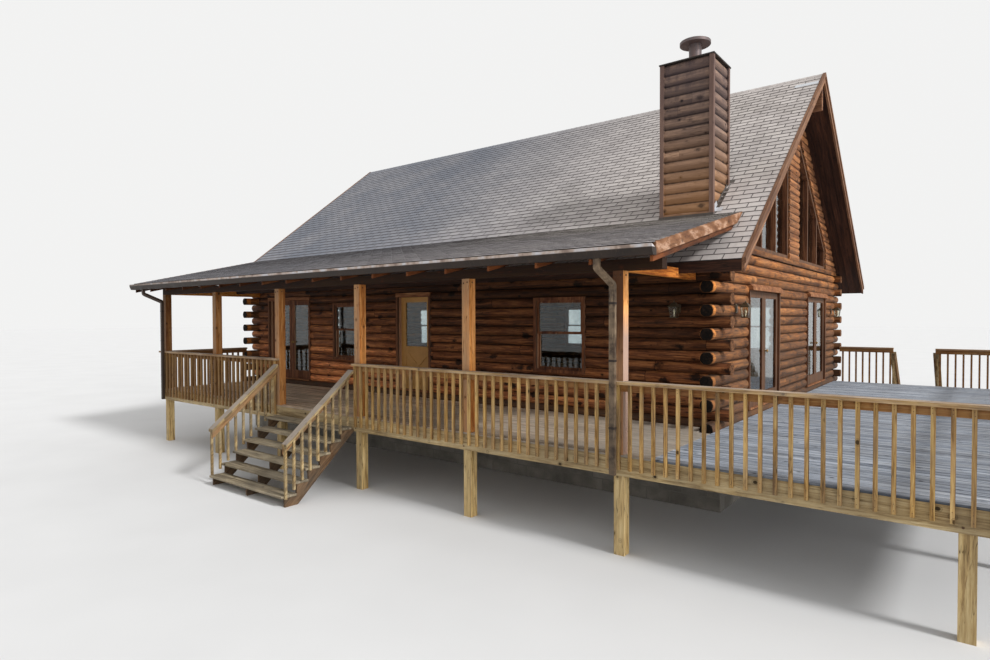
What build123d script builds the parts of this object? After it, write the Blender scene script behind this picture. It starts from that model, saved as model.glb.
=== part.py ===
from build123d import *
import math
import os

os.makedirs("parts", exist_ok=True)

# The frame: X runs along the ridge, Y towards the back and Z up. The origin
# lies on the ground under the middle of the log house. Sizes are millimetres.

# Log house
house_length = 12680
house_depth = 9220
log_diameter = 200
log_course = 176
wall_courses = 16
plate_height = 99
door_courses = 13
first_log_drop = 62
front_log_overhang = 340
side_log_overhang = 135
foundation_thickness = 200
foundation_joint = 2
pier_size = 400
pier_pitch = 3150
floor_thickness = 150

# Deck and porch
deck_height = 1260
porch_depth = 2506
side_deck_width = 3660
side_deck_setback = 230
deck_left_inset = 140
board_thickness = 25
rim_height = 235
rim_thickness = 38
rim_gap = 3
ledger_thickness = 38
deck_post_inset = 650
side_deck_post_pitch = 2500

# Porch posts: the insets of the two end ones from the house's ends, and the
# shares of the way between them at which all six stand
post_size = 140
post_setback = 9
left_post_inset = 223
right_post_inset = 433
post_shares = (0, 0.1949, 0.3931, 0.5912, 0.7951, 1)
beam_height = 140
beam_joint = 1
end_beam_thickness = 90

# Roofs
main_slope = 0.774
main_roof_thickness = 140
eave_overhang = 690
gable_overhang = 500
rake_board_thickness = 38
rake_board_drop = 15
ridge_joint = 2
rake_trim_thickness = 19
rake_trim_depth = 60
porch_slope = 0.2356
porch_eave_rise = 2509
porch_eave_reach = 461
porch_right_overhang = 173
porch_roof_thickness = 30
porch_rafter_depth = 184
porch_rafter_thickness = 38
porch_rafter_pitch = 800
porch_rake_depth = 140
gutter_width = 125
gutter_depth = 125
gutter_wall = 3
gutter_lip = 50
spout_width = 75
spout_depth = 55
spout_clearance = 4
spout_neck = 110
spout_fall = 190
spout_bend = 45
right_spout_inset = 450
right_spout_shift = 60
left_spout_inset = 350
left_spout_shift = 310

# Chimney
chimney_inset = 1120
chimney_width = 880
chimney_depth = 800
chimney_below_ridge = 808
chimney_course = 175
chimney_bulge = 28
corner_board = 68
corner_board_thickness = 22
cap_thickness = 20
cap_overhang = 12
flue_radius = 100
flue_height = 345
flue_cap_radius = 245
flue_cap_thickness = 45

# Windows and doors
window_width = 1070
window_height = 1350
window_sill = 700
front_window_shares = (-0.3746, 0.5481)
back_window_shares = (-0.678, -0.229, 0.229, 0.678)
left_window_shares = (-0.477, 0.477)
frame_face = 55
frame_depth = 120
frame_proud = 15
sash_face = 45
meeting_rail_rise = 40
sash_thickness = 40
glass_thickness = 8
front_door_place = -195
front_door_opening = 1030
glazed_door_inset = 1595
glazed_door_opening = 1830
side_door_inset = 2410
side_door_opening = 1990
jamb_thickness = 50
door_head = 86
threshold_height = 26
door_thickness = 45
door_recess = 105
side_door_recess = 25
door_gap = 7
door_stop = 12
stop_thickness = 25
header_projection = 70
header_height = 110
stile_width = 110
front_stile_width = 140
bottom_rail = 200
front_door_glass_sill = 960
crossbuck_board = 90
handle_height = 960
handle_inset = 62
rose_radius = 32
rose_thickness = 6
shank_radius = 11
knob_radius = 27
knob_reach = 58
hinge_height = 100
hinge_inset = 180
hinge_setback = 7
hinge_clearance = 0.3
hinge_plate = 32
hinge_plate_thickness = 3
panel_recess = 12

# Gable wall above the logs
gable_wall_thickness = 150
siding_course = 138
siding_bulge = 26
column_width = 830
gable_window_share = 0.705
gable_window_drop = 570
gable_frame_face = 75
gable_frame_depth = 110
gable_frame_setback = 40
gable_glass_setback = 90
gable_mullion = 66

# Railings and stairs
rail_height = 908
rail_cap_width = 140
rail_cap_thickness = 38
rail_cap_lip = 30
subrail_height = 89
subrail_thickness = 38
baluster_size = 38
baluster_pitch = 150.4
baluster_inset = 260
baluster_drop = 178
rail_post_size = 89
back_gap_setout = 1330
stair_steps = 7
stair_setout = 325
tread_run = 219
tread_depth = 280
tread_thickness = 38
stringer_thickness = 38
stringer_depth = 235
stair_side_gap = 20
hand_rail_width = 140
hand_rail_thickness = 38
hand_rail_height = 860
hand_rail_setback = 45
hand_rail_foot = 860
back_stair_width = 860

# Lanterns
lantern_height = 270
lantern_width = 165
lantern_reach = 230
lantern_centre = 1810
front_lantern_inset = 670

# Places worked out from the sizes above
half_length = house_length / 2
half_depth = house_depth / 2
first_log_base = deck_height - first_log_drop
door_course_top = first_log_base + door_courses * log_course
log_top = first_log_base + wall_courses * log_course
roof_drop = main_roof_thickness * math.hypot(1, main_slope)
plate_top = log_top + plate_height
ridge_height = plate_top + main_slope * half_depth + roof_drop
eave_place = half_depth + eave_overhang
rim_face = -half_depth - porch_depth
deck_left = deck_left_inset - half_length
deck_right = half_length + side_deck_width
side_deck_back = half_depth - side_deck_setback
back_gap_left = half_length + back_gap_setout
back_gap_right = back_gap_left + back_stair_width
roof_end = half_length + gable_overhang
door_sill = first_log_base + log_course
door_top = door_course_top - door_head
glazed_door_place = glazed_door_inset - half_length
side_door_place = half_depth - side_door_inset
front_windows = [share * half_length for share in front_window_shares]
back_windows = [share * half_length for share in back_window_shares]
left_windows = [share * half_depth for share in left_window_shares]
gable_window_half_span = gable_window_share * half_depth
chimney_left = half_length - chimney_inset
chimney_top = ridge_height - chimney_below_ridge
left_post = left_post_inset - half_length
right_post = half_length - right_post_inset
post_places = [left_post + share * (right_post - left_post) for share in post_shares]
left_end_beam = log_diameter - half_length + end_beam_thickness / 2
end_beam_places = (left_end_beam, right_post)


def roof_height(y):
    """Height of the main roof's upper face."""
    return ridge_height - main_slope * abs(y)


porch_right_end = half_length + porch_right_overhang
porch_eave_place = rim_face - porch_eave_reach
porch_eave_height = deck_height + porch_eave_rise


def porch_height(y):
    """Height of the porch roof's upper face."""
    return porch_eave_height + porch_slope * (y - porch_eave_place)


def porch_drop(thickness):
    """Plumb depth of a layer of the porch roof."""
    return thickness * math.hypot(1, porch_slope)


def on_main_roof(drop):
    """Where a line that lies below the porch roof's face meets the main roof."""
    below = porch_drop(drop)
    y = (porch_height(0) - below - ridge_height) / (main_slope - porch_slope)
    return (y, roof_height(y))


porch_top_place, porch_junction = on_main_roof(0)


def save(piece, name):
    """Labels a finished piece and writes it."""
    piece.part.label = name
    export_step(piece.part, "parts/" + name + ".step")


def block(low, high):
    """A squared timber, board or pane between two corners."""
    size = [b - a for a, b in zip(low, high)]
    with BuildPart() as piece:
        with Locations([(low[0], low[1], low[2])]):
            Box(*size, align=(Align.MIN, Align.MIN, Align.MIN))
    return piece.part


def prism_x(points, start, end):
    """An outline in Y and Z, pushed along X."""
    with BuildPart() as piece:
        with BuildSketch(Plane.YZ.offset(start)):
            Polygon(*points, align=None)
        extrude(amount=end - start)
    return piece.part


def prism_y(points, start, end):
    """An outline in X and Z, pushed along Y."""
    with BuildPart() as piece:
        with BuildSketch(Plane.XZ.offset(-start)):
            Polygon(*points, align=None)
        extrude(amount=start - end)
    return piece.part


def group(solids):
    """Solids that share a node."""
    with BuildPart() as piece:
        add(solids)
    return piece


def log_x(start, end, y, course):
    """A round log along X, flattened where it sits on its neighbours."""
    height = first_log_base + (course + 0.5) * log_course
    with BuildPart() as piece:
        with BuildSketch(Plane.YZ.offset(start)):
            with Locations((y, height)):
                Circle(log_diameter / 2)
                Rectangle(log_diameter, log_course, mode=Mode.INTERSECT)
        extrude(amount=end - start)
    return piece.part


def log_y(start, end, x, course):
    """A round log along Y, flattened where it sits on its neighbours."""
    height = first_log_base + (course + 0.5) * log_course
    with BuildPart() as piece:
        with BuildSketch(Plane.XZ.offset(-end)):
            with Locations((x, height)):
                Circle(log_diameter / 2)
                Rectangle(log_diameter, log_course, mode=Mode.INTERSECT)
        extrude(amount=end - start)
    return piece.part


def corner_x(course):
    """Where a front or back log ends: odd courses run past the side wall."""
    if course % 2:
        return half_length + side_log_overhang
    return half_length - log_diameter


def corner_y(course):
    """Where a side log ends: even courses run past the front wall."""
    if course % 2:
        return half_depth - log_diameter
    return half_depth + front_log_overhang


wall_y = half_depth - log_diameter / 2
wall_x = half_length - log_diameter / 2


def logs_x(courses, side, start=None, end=None):
    """A stack of logs along X; an end left open runs to the corner."""
    stack = []
    for course in courses:
        low = -corner_x(course) if start is None else start
        high = corner_x(course) if end is None else end
        stack.append(log_x(low, high, side * wall_y, course))
    return stack


def logs_y(courses, side, start=None, end=None):
    """A stack of logs along Y; an end left open runs to the corner."""
    stack = []
    for course in courses:
        low = -corner_y(course) if start is None else start
        high = corner_y(course) if end is None else end
        stack.append(log_y(low, high, side * wall_x, course))
    return stack


# Foundation, sill logs and floor
floor_top = door_sill
floor_base = floor_top - floor_thickness
cross_wall_reach = half_depth - foundation_thickness - foundation_joint
with BuildPart() as foundation:
    for side in (-1, 1):
        with BuildSketch():
            with Locations((0, side * (half_depth - foundation_thickness / 2))):
                Rectangle(house_length, foundation_thickness)
            with Locations((side * (half_length - foundation_thickness / 2), 0)):
                Rectangle(foundation_thickness, 2 * cross_wall_reach)
        extrude(amount=first_log_base)
    with BuildSketch():
        with GridLocations(pier_pitch, 0, 3, 1):
            Rectangle(pier_size, pier_size)
    extrude(amount=floor_base)
save(foundation, "foundation")

sill_logs = group(logs_x([0], -1) + logs_x([0], 1) + logs_y([0], -1) + logs_y([0], 1))
save(sill_logs, "sill_logs")

with BuildPart() as house_floor:
    with BuildSketch(Plane.XY.offset(floor_base)):
        Rectangle(house_length - 2 * log_diameter, house_depth - 2 * log_diameter)
    extrude(amount=floor_thickness)
save(house_floor, "house_floor")

# Log walls
wall_rows = range(1, door_courses)
top_rows = range(door_courses, wall_courses)
window_base = deck_height + window_sill
cut_depth = 2 * log_diameter


def window_cut_x(x, side):
    """The hole that a window in the front or back wall fills."""
    low = side * wall_y - cut_depth / 2
    return block(
        (x - window_width / 2, low, window_base),
        (x + window_width / 2, low + cut_depth, window_base + window_height),
    )


def window_cut_y(y, side, base):
    """The hole that a window in a side wall fills."""
    low = side * wall_x - cut_depth / 2
    return block(
        (low, y - window_width / 2, base),
        (low + cut_depth, y + window_width / 2, base + window_height),
    )


def plate_x(side):
    """The squared top log of a long wall, bevelled to carry the roof."""
    inner = half_depth - log_diameter
    outline = [
        (side * half_depth, log_top),
        (side * half_depth, plate_top),
        (side * inner, plate_top + main_slope * log_diameter),
        (side * inner, log_top),
    ]
    reach = half_length - log_diameter
    return prism_x(outline, -reach, reach)


def gable_sill(side):
    """The squared log that carries a gable."""
    low = half_length - log_diameter if side > 0 else -half_length
    return block((low, -half_depth, log_top), (low + log_diameter, half_depth, plate_top))


glazed_left = glazed_door_place - glazed_door_opening / 2
glazed_right = glazed_door_place + glazed_door_opening / 2
door_left = front_door_place - front_door_opening / 2
door_right = front_door_place + front_door_opening / 2

front_wall_left = group(logs_x(wall_rows, -1, end=glazed_left))
save(front_wall_left, "front_wall_left")

with BuildPart() as front_wall_middle:
    add(logs_x(wall_rows, -1, start=glazed_right, end=door_left))
    add(window_cut_x(front_windows[0], -1), mode=Mode.SUBTRACT)
save(front_wall_middle, "front_wall_middle")

with BuildPart() as front_wall_right:
    add(logs_x(wall_rows, -1, start=door_right))
    add(window_cut_x(front_windows[1], -1), mode=Mode.SUBTRACT)
save(front_wall_right, "front_wall_right")

front_wall_top = group(logs_x(top_rows, -1) + [plate_x(-1)])
save(front_wall_top, "front_wall_top")

with BuildPart() as back_wall:
    add(logs_x(range(1, wall_courses), 1) + [plate_x(1)])
    add([window_cut_x(x, 1) for x in back_windows], mode=Mode.SUBTRACT)
save(back_wall, "back_wall")

with BuildPart() as left_wall:
    add(logs_y(range(1, wall_courses), -1) + [gable_sill(-1)])
    add([window_cut_y(y, -1, window_base) for y in left_windows], mode=Mode.SUBTRACT)
save(left_wall, "left_wall")

side_edge = side_door_opening / 2
right_wall_front = group(logs_y(wall_rows, 1, end=-side_door_place - side_edge))
save(right_wall_front, "right_wall_front")
right_wall_middle = group(
    logs_y(wall_rows, 1, start=side_edge - side_door_place, end=side_door_place - side_edge)
)
save(right_wall_middle, "right_wall_middle")
right_wall_back = group(logs_y(wall_rows, 1, start=side_door_place + side_edge))
save(right_wall_back, "right_wall_back")
right_wall_top = group(logs_y(top_rows, 1) + [gable_sill(1)])
save(right_wall_top, "right_wall_top")


# Gables above the logs
def siding_outline(face, thickness, low, high, course, bulge, side):
    """A wall's section with rounded siding boards, as points and arcs."""
    back = face - side * thickness
    inner = face - side * bulge
    rows = math.ceil((high - low) / course)
    peak = low + rows * course
    with BuildLine() as outline:
        Polyline((inner, low), (back, low), (back, peak), (inner, peak))
        for row in range(rows):
            base = low + row * course
            ThreePointArc((inner, base), (face, base + course / 2), (inner, base + course))
    return outline.line


def siding_wall(side, low, high):
    """A full-width sheet of rounded siding on its framing."""
    outline = siding_outline(
        side * half_length, gable_wall_thickness, low, high, siding_course, siding_bulge, side
    )
    with BuildPart() as piece:
        with BuildSketch(Plane.XZ.offset(-half_depth)):
            add(outline)
            make_face()
        extrude(amount=house_depth)
    return piece.part


roof_underside = ridge_height - roof_drop


def under_roof(y):
    """Height of the main roof's lower face."""
    return roof_underside - main_slope * abs(y)


def between(points):
    """An outline in Y and Z that reaches through both gables."""
    return prism_x(points, -house_length, house_length)


gable_sheet = siding_wall(1, plate_top, roof_underside)
column_half = column_width / 2
with BuildPart() as right_gable_column:
    add(gable_sheet)
    add(
        between([
            (-column_half, plate_top),
            (column_half, plate_top),
            (column_half, under_roof(column_half)),
            (0, roof_underside),
            (-column_half, under_roof(column_half)),
        ]),
        mode=Mode.INTERSECT,
    )
save(right_gable_column, "right_gable_column")


def gable_corner(side):
    """The part of the gable outside and above one big window."""
    span = gable_window_half_span
    return between([
        (side * half_depth, plate_top),
        (side * span, plate_top),
        (side * span, under_roof(span) - gable_window_drop),
        (side * column_half, under_roof(column_half) - gable_window_drop),
        (side * column_half, under_roof(column_half)),
    ])


with BuildPart() as right_gable_front:
    add(gable_sheet)
    add(gable_corner(-1), mode=Mode.INTERSECT)
save(right_gable_front, "right_gable_front")
with BuildPart() as right_gable_back:
    add(gable_sheet)
    add(gable_corner(1), mode=Mode.INTERSECT)
save(right_gable_back, "right_gable_back")

upper_window_base = plate_top + frame_face
with BuildPart() as left_gable:
    add(siding_wall(-1, plate_top, roof_underside))
    add(
        between([
            (-half_depth, plate_top),
            (half_depth, plate_top),
            (0, roof_underside),
        ]),
        mode=Mode.INTERSECT,
    )
    add(window_cut_y(0, -1, upper_window_base), mode=Mode.SUBTRACT)
save(left_gable, "left_gable")


# Windows
def sash_rows(height):
    """Base and height of the lower and the upper sash."""
    inner_height = height - 2 * frame_face
    low = inner_height / 2 + sash_face / 2 + meeting_rail_rise
    high = inner_height / 2 + sash_face / 2 - meeting_rail_rise
    return [(frame_face, low), (height - frame_face - high, high)]


def sash_window(width, height):
    """Frame and two sashes, standing on the XY plane and facing -Y."""
    face = frame_face
    with BuildPart() as piece:
        with BuildSketch(Plane.XZ.offset(frame_proud)):
            with Locations((0, height / 2)):
                Rectangle(width, height)
                Rectangle(width - 2 * face, height - 2 * face, mode=Mode.SUBTRACT)
        extrude(amount=-frame_depth)
        inner_width = width - 2 * face
        for row, (base, pane) in enumerate(sash_rows(height)):
            recess = frame_face / 2 + (1 - row) * sash_thickness
            with BuildSketch(Plane.XZ.offset(-recess)):
                with Locations((0, base + pane / 2)):
                    Rectangle(inner_width, pane)
                    Rectangle(inner_width - 2 * sash_face, pane - 2 * sash_face, mode=Mode.SUBTRACT)
            extrude(amount=-sash_thickness)
    return piece.part


def sash_glass(width, height):
    """The two panes of a sash window, in the same place as its sashes."""
    inner_width = width - 2 * frame_face
    panes = []
    for row, (base, pane) in enumerate(sash_rows(height)):
        recess = frame_face / 2 + (1 - row) * sash_thickness + (sash_thickness - glass_thickness) / 2
        half = inner_width / 2 - sash_face
        panes.append(block(
            (-half, recess, base + sash_face),
            (half, recess + glass_thickness, base + pane - sash_face),
        ))
    return panes


window_spots = []
for x in front_windows:
    window_spots.append(Location((x, -half_depth, window_base)))
for x in back_windows:
    window_spots.append(Location((x, half_depth, window_base), (0, 0, 180)))
for y in left_windows:
    window_spots.append(Location((-half_length, y, window_base), (0, 0, -90)))
window_spots.append(Location((-half_length, 0, upper_window_base), (0, 0, -90)))

one_window = sash_window(window_width, window_height)
window_frames = group([one_window.moved(spot) for spot in window_spots])
save(window_frames, "window_frames")
window_panes = [
    pane.moved(spot) for spot in window_spots for pane in sash_glass(window_width, window_height)
]


def gable_light(side, inset):
    """Outline of a big gable window, drawn in by an even border."""
    slope_inset = inset * math.hypot(1, main_slope)
    near = column_half + inset
    far = gable_window_half_span - inset
    base = plate_top + inset
    drop = gable_window_drop + slope_inset
    return [
        (side * near, base),
        (side * far, base),
        (side * far, under_roof(far) - drop),
        (side * near, under_roof(near) - drop),
    ]


def gable_frame(side):
    """Frame with two mullions for one big gable window."""
    face = half_length - gable_frame_setback
    start = face - gable_frame_depth
    with BuildPart() as piece:
        add(prism_x(gable_light(side, 0), start, face))
        add(prism_x(gable_light(side, gable_frame_face), start - 1, face + 1), mode=Mode.SUBTRACT)
        span = gable_window_half_span - column_half
        for part in (1, 2):
            centre = column_half + span * part / 3
            add(prism_x(
                [
                    (side * (centre - gable_mullion / 2), plate_top + gable_frame_face),
                    (side * (centre + gable_mullion / 2), plate_top + gable_frame_face),
                    (
                        side * (centre + gable_mullion / 2),
                        under_roof(centre + gable_mullion / 2) - gable_window_drop - gable_frame_face,
                    ),
                    (
                        side * (centre - gable_mullion / 2),
                        under_roof(centre - gable_mullion / 2) - gable_window_drop - gable_frame_face,
                    ),
                ],
                start,
                face,
            ))
    return piece.part


gable_window_frames = group([gable_frame(-1), gable_frame(1)])
save(gable_window_frames, "gable_window_frames")


def gable_pane(side):
    """Glass of one big gable window, in three lights."""
    middle = half_length - gable_frame_setback - gable_glass_setback
    with BuildPart() as piece:
        add(prism_x(
            gable_light(side, gable_frame_face), middle - glass_thickness / 2, middle + glass_thickness / 2
        ))
        span = gable_window_half_span - column_half
        for part in (1, 2):
            centre = side * (column_half + span * part / 3)
            with Locations((middle, centre, plate_top)):
                Box(
                    2 * glass_thickness,
                    gable_mullion,
                    ridge_height - plate_top,
                    align=(Align.CENTER, Align.CENTER, Align.MIN),
                    mode=Mode.SUBTRACT,
                )
    return piece.part


gable_panes = [gable_pane(-1), gable_pane(1)]

# Doors. A frame is drawn on the wall's outer face and a leaf on its own front
# face, both around the door's middle, and a location sets each in its place.
def wall_spot(x, recess):
    """A place on the front wall, this far behind its outer face."""
    return Location((x, recess - half_depth, 0))


def side_spot(side, recess):
    """A place on the right wall, turned to face +X."""
    return Location((half_length - recess, side * side_door_place, 0), (0, 0, 90))


front_leaf_spot = wall_spot(front_door_place, door_recess)
glazed_leaf_spot = wall_spot(glazed_door_place, door_recess)
side_leaf_spots = [side_spot(side, side_door_recess) for side in (-1, 1)]
leaf_base = door_sill + threshold_height + door_gap
leaf_top = door_top - door_gap


def jamb(opening, recess, side):
    """One door post with its stop on the outer side of the leaf."""
    outer = side * opening / 2
    inner = side * (opening / 2 - jamb_thickness)
    stop = side * (opening / 2 - jamb_thickness - door_stop)
    stop_back = recess - door_gap
    jamb_back = recess + door_thickness
    with BuildPart() as piece:
        with BuildSketch(Plane.XY.offset(door_sill)):
            Polygon(
                (outer, -frame_proud),
                (inner, -frame_proud),
                (inner, stop_back - stop_thickness),
                (stop, stop_back - stop_thickness),
                (stop, stop_back),
                (inner, stop_back),
                (inner, jamb_back),
                (outer, jamb_back),
                align=None,
            )
        extrude(amount=door_top - door_sill)
    return piece.part


def head(opening, recess):
    """The squared head over a door."""
    half = opening / 2
    back = recess + door_thickness
    return block((-half, -frame_proud, door_top), (half, back, door_course_top))


def threshold(opening, recess):
    """The worn board under a door."""
    half = opening / 2 - jamb_thickness - door_stop
    back = recess + door_thickness
    return block((-half, -frame_proud, door_sill), (half, back, door_sill + threshold_height))


side_spots = [side_spot(side, 0) for side in (-1, 1)]
door_sets = [
    (wall_spot(front_door_place, 0), front_door_opening, door_recess),
    (wall_spot(glazed_door_place, 0), glazed_door_opening, door_recess),
]
door_sets += [(spot, side_door_opening, side_door_recess) for spot in side_spots]
door_jambs = group([
    jamb(size, recess, side).moved(spot) for spot, size, recess in door_sets for side in (-1, 1)
])
save(door_jambs, "door_jambs")

side_header_half = side_door_opening / 2
side_header = prism_x(
    [
        (-frame_proud, door_top),
        (-header_projection, door_top),
        (-header_projection, door_top + header_height / 2),
        (-frame_proud, door_top + header_height),
    ],
    -side_header_half,
    side_header_half,
)
side_headers = [side_header.moved(spot) for spot in side_spots]
door_boards = []
for spot, size, recess in door_sets:
    door_boards.append(head(size, recess).moved(spot))
    door_boards.append(threshold(size, recess).moved(spot))
door_heads = group(door_boards + side_headers)
save(door_heads, "door_heads")


def glazed_leaf(left, right):
    """A glazed door leaf with stiles and rails, round one tall pane."""
    with BuildPart() as piece:
        add(block((left, 0, leaf_base), (right, door_thickness, leaf_top)))
        add(
            block(
                (left + stile_width, -1, leaf_base + bottom_rail),
                (right - stile_width, door_thickness + 1, leaf_top - stile_width),
            ),
            mode=Mode.SUBTRACT,
        )
    return piece.part


def fixed_leaf(left, right):
    """A leaf that stands on its threshold and against its jamb."""
    low_edge = left - door_gap if -left > right else left
    high_edge = right + door_gap if right > -left else right
    low = door_sill + threshold_height
    with BuildPart() as piece:
        add(block((low_edge, 0, low), (high_edge, door_thickness, door_top)))
        add(
            block(
                (left + stile_width, -1, leaf_base + bottom_rail),
                (right - stile_width, door_thickness + 1, leaf_top - stile_width),
            ),
            mode=Mode.SUBTRACT,
        )
    return piece.part


def leaf_glass(left, right):
    """The pane of a glazed leaf."""
    middle = (door_thickness - glass_thickness) / 2
    return block(
        (left + stile_width, middle, leaf_base + bottom_rail),
        (right - stile_width, middle + glass_thickness, leaf_top - stile_width),
    )


def leaf_span(opening, side):
    """Left and right edge of one leaf of a pair."""
    outer = opening / 2 - jamb_thickness - door_gap
    inner = door_gap / 2
    if side > 0:
        return inner, outer
    return -outer, -inner


def door_handle(edge, side):
    """A knob on both faces of a leaf; side points to the leaf from its lock edge."""
    place = edge + side * handle_inset
    height = door_sill + handle_height
    reach = knob_reach
    with BuildPart() as piece:
        with BuildSketch(Plane(origin=(place, 0, height), x_dir=(1, 0, 0), z_dir=(0, 0, 1))):
            for face, way in ((0, -1), (door_thickness, 1)):
                with BuildLine():
                    Polyline(
                        (0, face),
                        (rose_radius, face),
                        (rose_radius, face + way * rose_thickness),
                        (shank_radius, face + way * rose_thickness),
                        (shank_radius, face + way * 0.5 * reach),
                        (knob_radius, face + way * 0.65 * reach),
                        (knob_radius, face + way * 0.85 * reach),
                        (0.6 * knob_radius, face + way * reach),
                        (0, face + way * reach),
                        close=True,
                    )
                make_face()
        revolve(axis=Axis((place, 0, height), (0, 1, 0)))
    return piece.part


hinge_offset = math.hypot(door_gap / 2, hinge_setback)
knuckle_radius = hinge_offset - hinge_clearance


def hinges(edge, side):
    """Three butt hinges on the jamb; side points from the jamb to the leaf."""
    centre = edge - side * door_gap / 2
    low = edge - side * door_gap
    far = low - side * hinge_plate
    first = leaf_base + hinge_inset
    last = leaf_top - hinge_inset - hinge_height
    pieces = []
    for base in (first, (first + last) / 2, last):
        with BuildPart() as piece:
            with BuildSketch(Plane.XY.offset(base)):
                with Locations((centre, door_thickness + hinge_setback)):
                    Circle(knuckle_radius)
            extrude(amount=hinge_height)
            add(block(
                (min(low, far), door_thickness, base),
                (max(low, far), door_thickness + hinge_plate_thickness, base + hinge_height),
            ))
        pieces.append(piece.part)
    return pieces


# The active leaf of the glazed porch door is the right one. On the side
# doors it is the leaf nearer the middle of the wall.
glazed_active = leaf_span(glazed_door_opening, 1)
glazed_fixed = leaf_span(glazed_door_opening, -1)
side_active = [leaf_span(side_door_opening, 1), leaf_span(side_door_opening, -1)]
side_fixed = [leaf_span(side_door_opening, -1), leaf_span(side_door_opening, 1)]
front_door_half = front_door_opening / 2 - jamb_thickness - door_gap

moving_leaves = [
    ("glazed_porch_door", glazed_leaf_spot, glazed_active, 1),
    ("front_side_door", side_leaf_spots[0], side_active[0], 1),
    ("back_side_door", side_leaf_spots[1], side_active[1], -1),
]
for door_name, spot, span, hinge_side in moving_leaves:
    lock_edge = span[0] if hinge_side > 0 else span[1]
    save(group([glazed_leaf(*span).moved(spot)]), door_name)
    save(group([leaf_glass(*span).moved(spot)]), door_name + "_glass")
    save(group([door_handle(lock_edge, hinge_side).moved(spot)]), door_name + "_handle")
front_door_handle = group([door_handle(front_door_half, -1).moved(front_leaf_spot)])
save(front_door_handle, "front_door_handle")

hinge_pieces = [piece.moved(front_leaf_spot) for piece in hinges(-front_door_half, 1)]
for door_name, spot, span, hinge_side in moving_leaves:
    hinge_edge = span[1] if hinge_side > 0 else span[0]
    hinge_pieces += [piece.moved(spot) for piece in hinges(hinge_edge, -hinge_side)]
door_hinges = group(hinge_pieces)
save(door_hinges, "door_hinges")

fixed_places = [(glazed_leaf_spot, glazed_fixed)] + list(zip(side_leaf_spots, side_fixed))
fixed_door_leaves = group([fixed_leaf(*span).moved(spot) for spot, span in fixed_places])
save(fixed_door_leaves, "fixed_door_leaves")
fixed_panes = [leaf_glass(*span).moved(spot) for spot, span in fixed_places]
fixed_glass = group(window_panes + gable_panes + fixed_panes)
save(fixed_glass, "fixed_glass")

# The solid front door: a pane above, a crossbuck panel below
panel_low = leaf_base + bottom_rail
panel_high = door_sill + front_door_glass_sill - front_stile_width
glass_low = door_sill + front_door_glass_sill
panel_half = front_door_half - front_stile_width
with BuildPart() as front_door_leaf:
    add(block((-front_door_half, 0, leaf_base), (front_door_half, door_thickness, leaf_top)))
    add(
        block(
            (-panel_half, -1, glass_low),
            (panel_half, door_thickness + 1, leaf_top - stile_width),
        ),
        mode=Mode.SUBTRACT,
    )
    for face in (0, door_thickness - panel_recess):
        add(
            block((-panel_half, face, panel_low), (panel_half, face + panel_recess, panel_high)),
            mode=Mode.SUBTRACT,
        )
    brace_angle = math.degrees(math.atan2(panel_high - panel_low, 2 * panel_half))
    with BuildSketch(Plane.XZ):
        with Locations((0, (panel_low + panel_high) / 2)):
            for turn in (brace_angle, -brace_angle):
                Rectangle(3 * panel_half, crossbuck_board, rotation=turn)
            Rectangle(2 * panel_half, panel_high - panel_low, mode=Mode.INTERSECT)
    extrude(amount=-panel_recess)
front_door = group([front_door_leaf.part.moved(front_leaf_spot)])
save(front_door, "front_door")
pane_middle = (door_thickness - glass_thickness) / 2
front_door_pane = block(
    (-panel_half, pane_middle, glass_low),
    (panel_half, pane_middle + glass_thickness, leaf_top - stile_width),
)
front_door_glass = group([front_door_pane.moved(front_leaf_spot)])
save(front_door_glass, "front_door_glass")


# Main roof
def roof_side(side, start, end, extra=0):
    """One slope of the main roof between two stations along X."""
    return prism_x(
        [
            (0, ridge_height),
            (side * eave_place, roof_height(eave_place)),
            (side * eave_place, roof_height(eave_place) - roof_drop - extra),
            (0, ridge_height - roof_drop - extra),
        ],
        start,
        end,
    )


main_roof_front = group([roof_side(-1, -roof_end, roof_end)])
save(main_roof_front, "main_roof_front")
main_roof_back = group([roof_side(1, -roof_end, roof_end)])
save(main_roof_back, "main_roof_back")


rake_outer = roof_end + rake_board_thickness
trim_outer = rake_outer + rake_trim_thickness
half_joint = ridge_joint / 2


def rake_outline(slope, low_edge):
    """A board along one rake, plumb at the eave and at the ridge."""
    return [
        (slope * half_joint, roof_height(half_joint)),
        (slope * eave_place, roof_height(eave_place)),
        (slope * eave_place, roof_height(eave_place) - low_edge),
        (slope * half_joint, roof_height(half_joint) - low_edge),
    ]


def rake_board(end, slope):
    """A rake board with the shingle trim on its upper edge."""
    trim_drop = rake_trim_depth * math.hypot(1, main_slope)
    board_span = sorted((end * roof_end, end * rake_outer))
    trim_span = sorted((end * rake_outer, end * trim_outer))
    with BuildPart() as piece:
        add([
            prism_x(rake_outline(slope, roof_drop + rake_board_drop), *board_span),
            prism_x(rake_outline(slope, trim_drop), *trim_span),
        ])
    return piece.part


main_rake_boards = [rake_board(end, slope) for end in (-1, 1) for slope in (-1, 1)]


# Porch roof
shingle_edge = porch_eave_place + gutter_width - 30
rafter_end = porch_eave_place + gutter_width
porch_left_end = -roof_end
porch_layer = porch_drop(porch_roof_thickness)
porch_roof = group([
    prism_x(
        [
            (shingle_edge, porch_height(shingle_edge)),
            (porch_top_place, porch_junction),
            on_main_roof(porch_roof_thickness),
            (shingle_edge, porch_height(shingle_edge) - porch_layer),
        ],
        porch_left_end,
        porch_right_end,
    )
])
save(porch_roof, "porch_roof")

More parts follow.
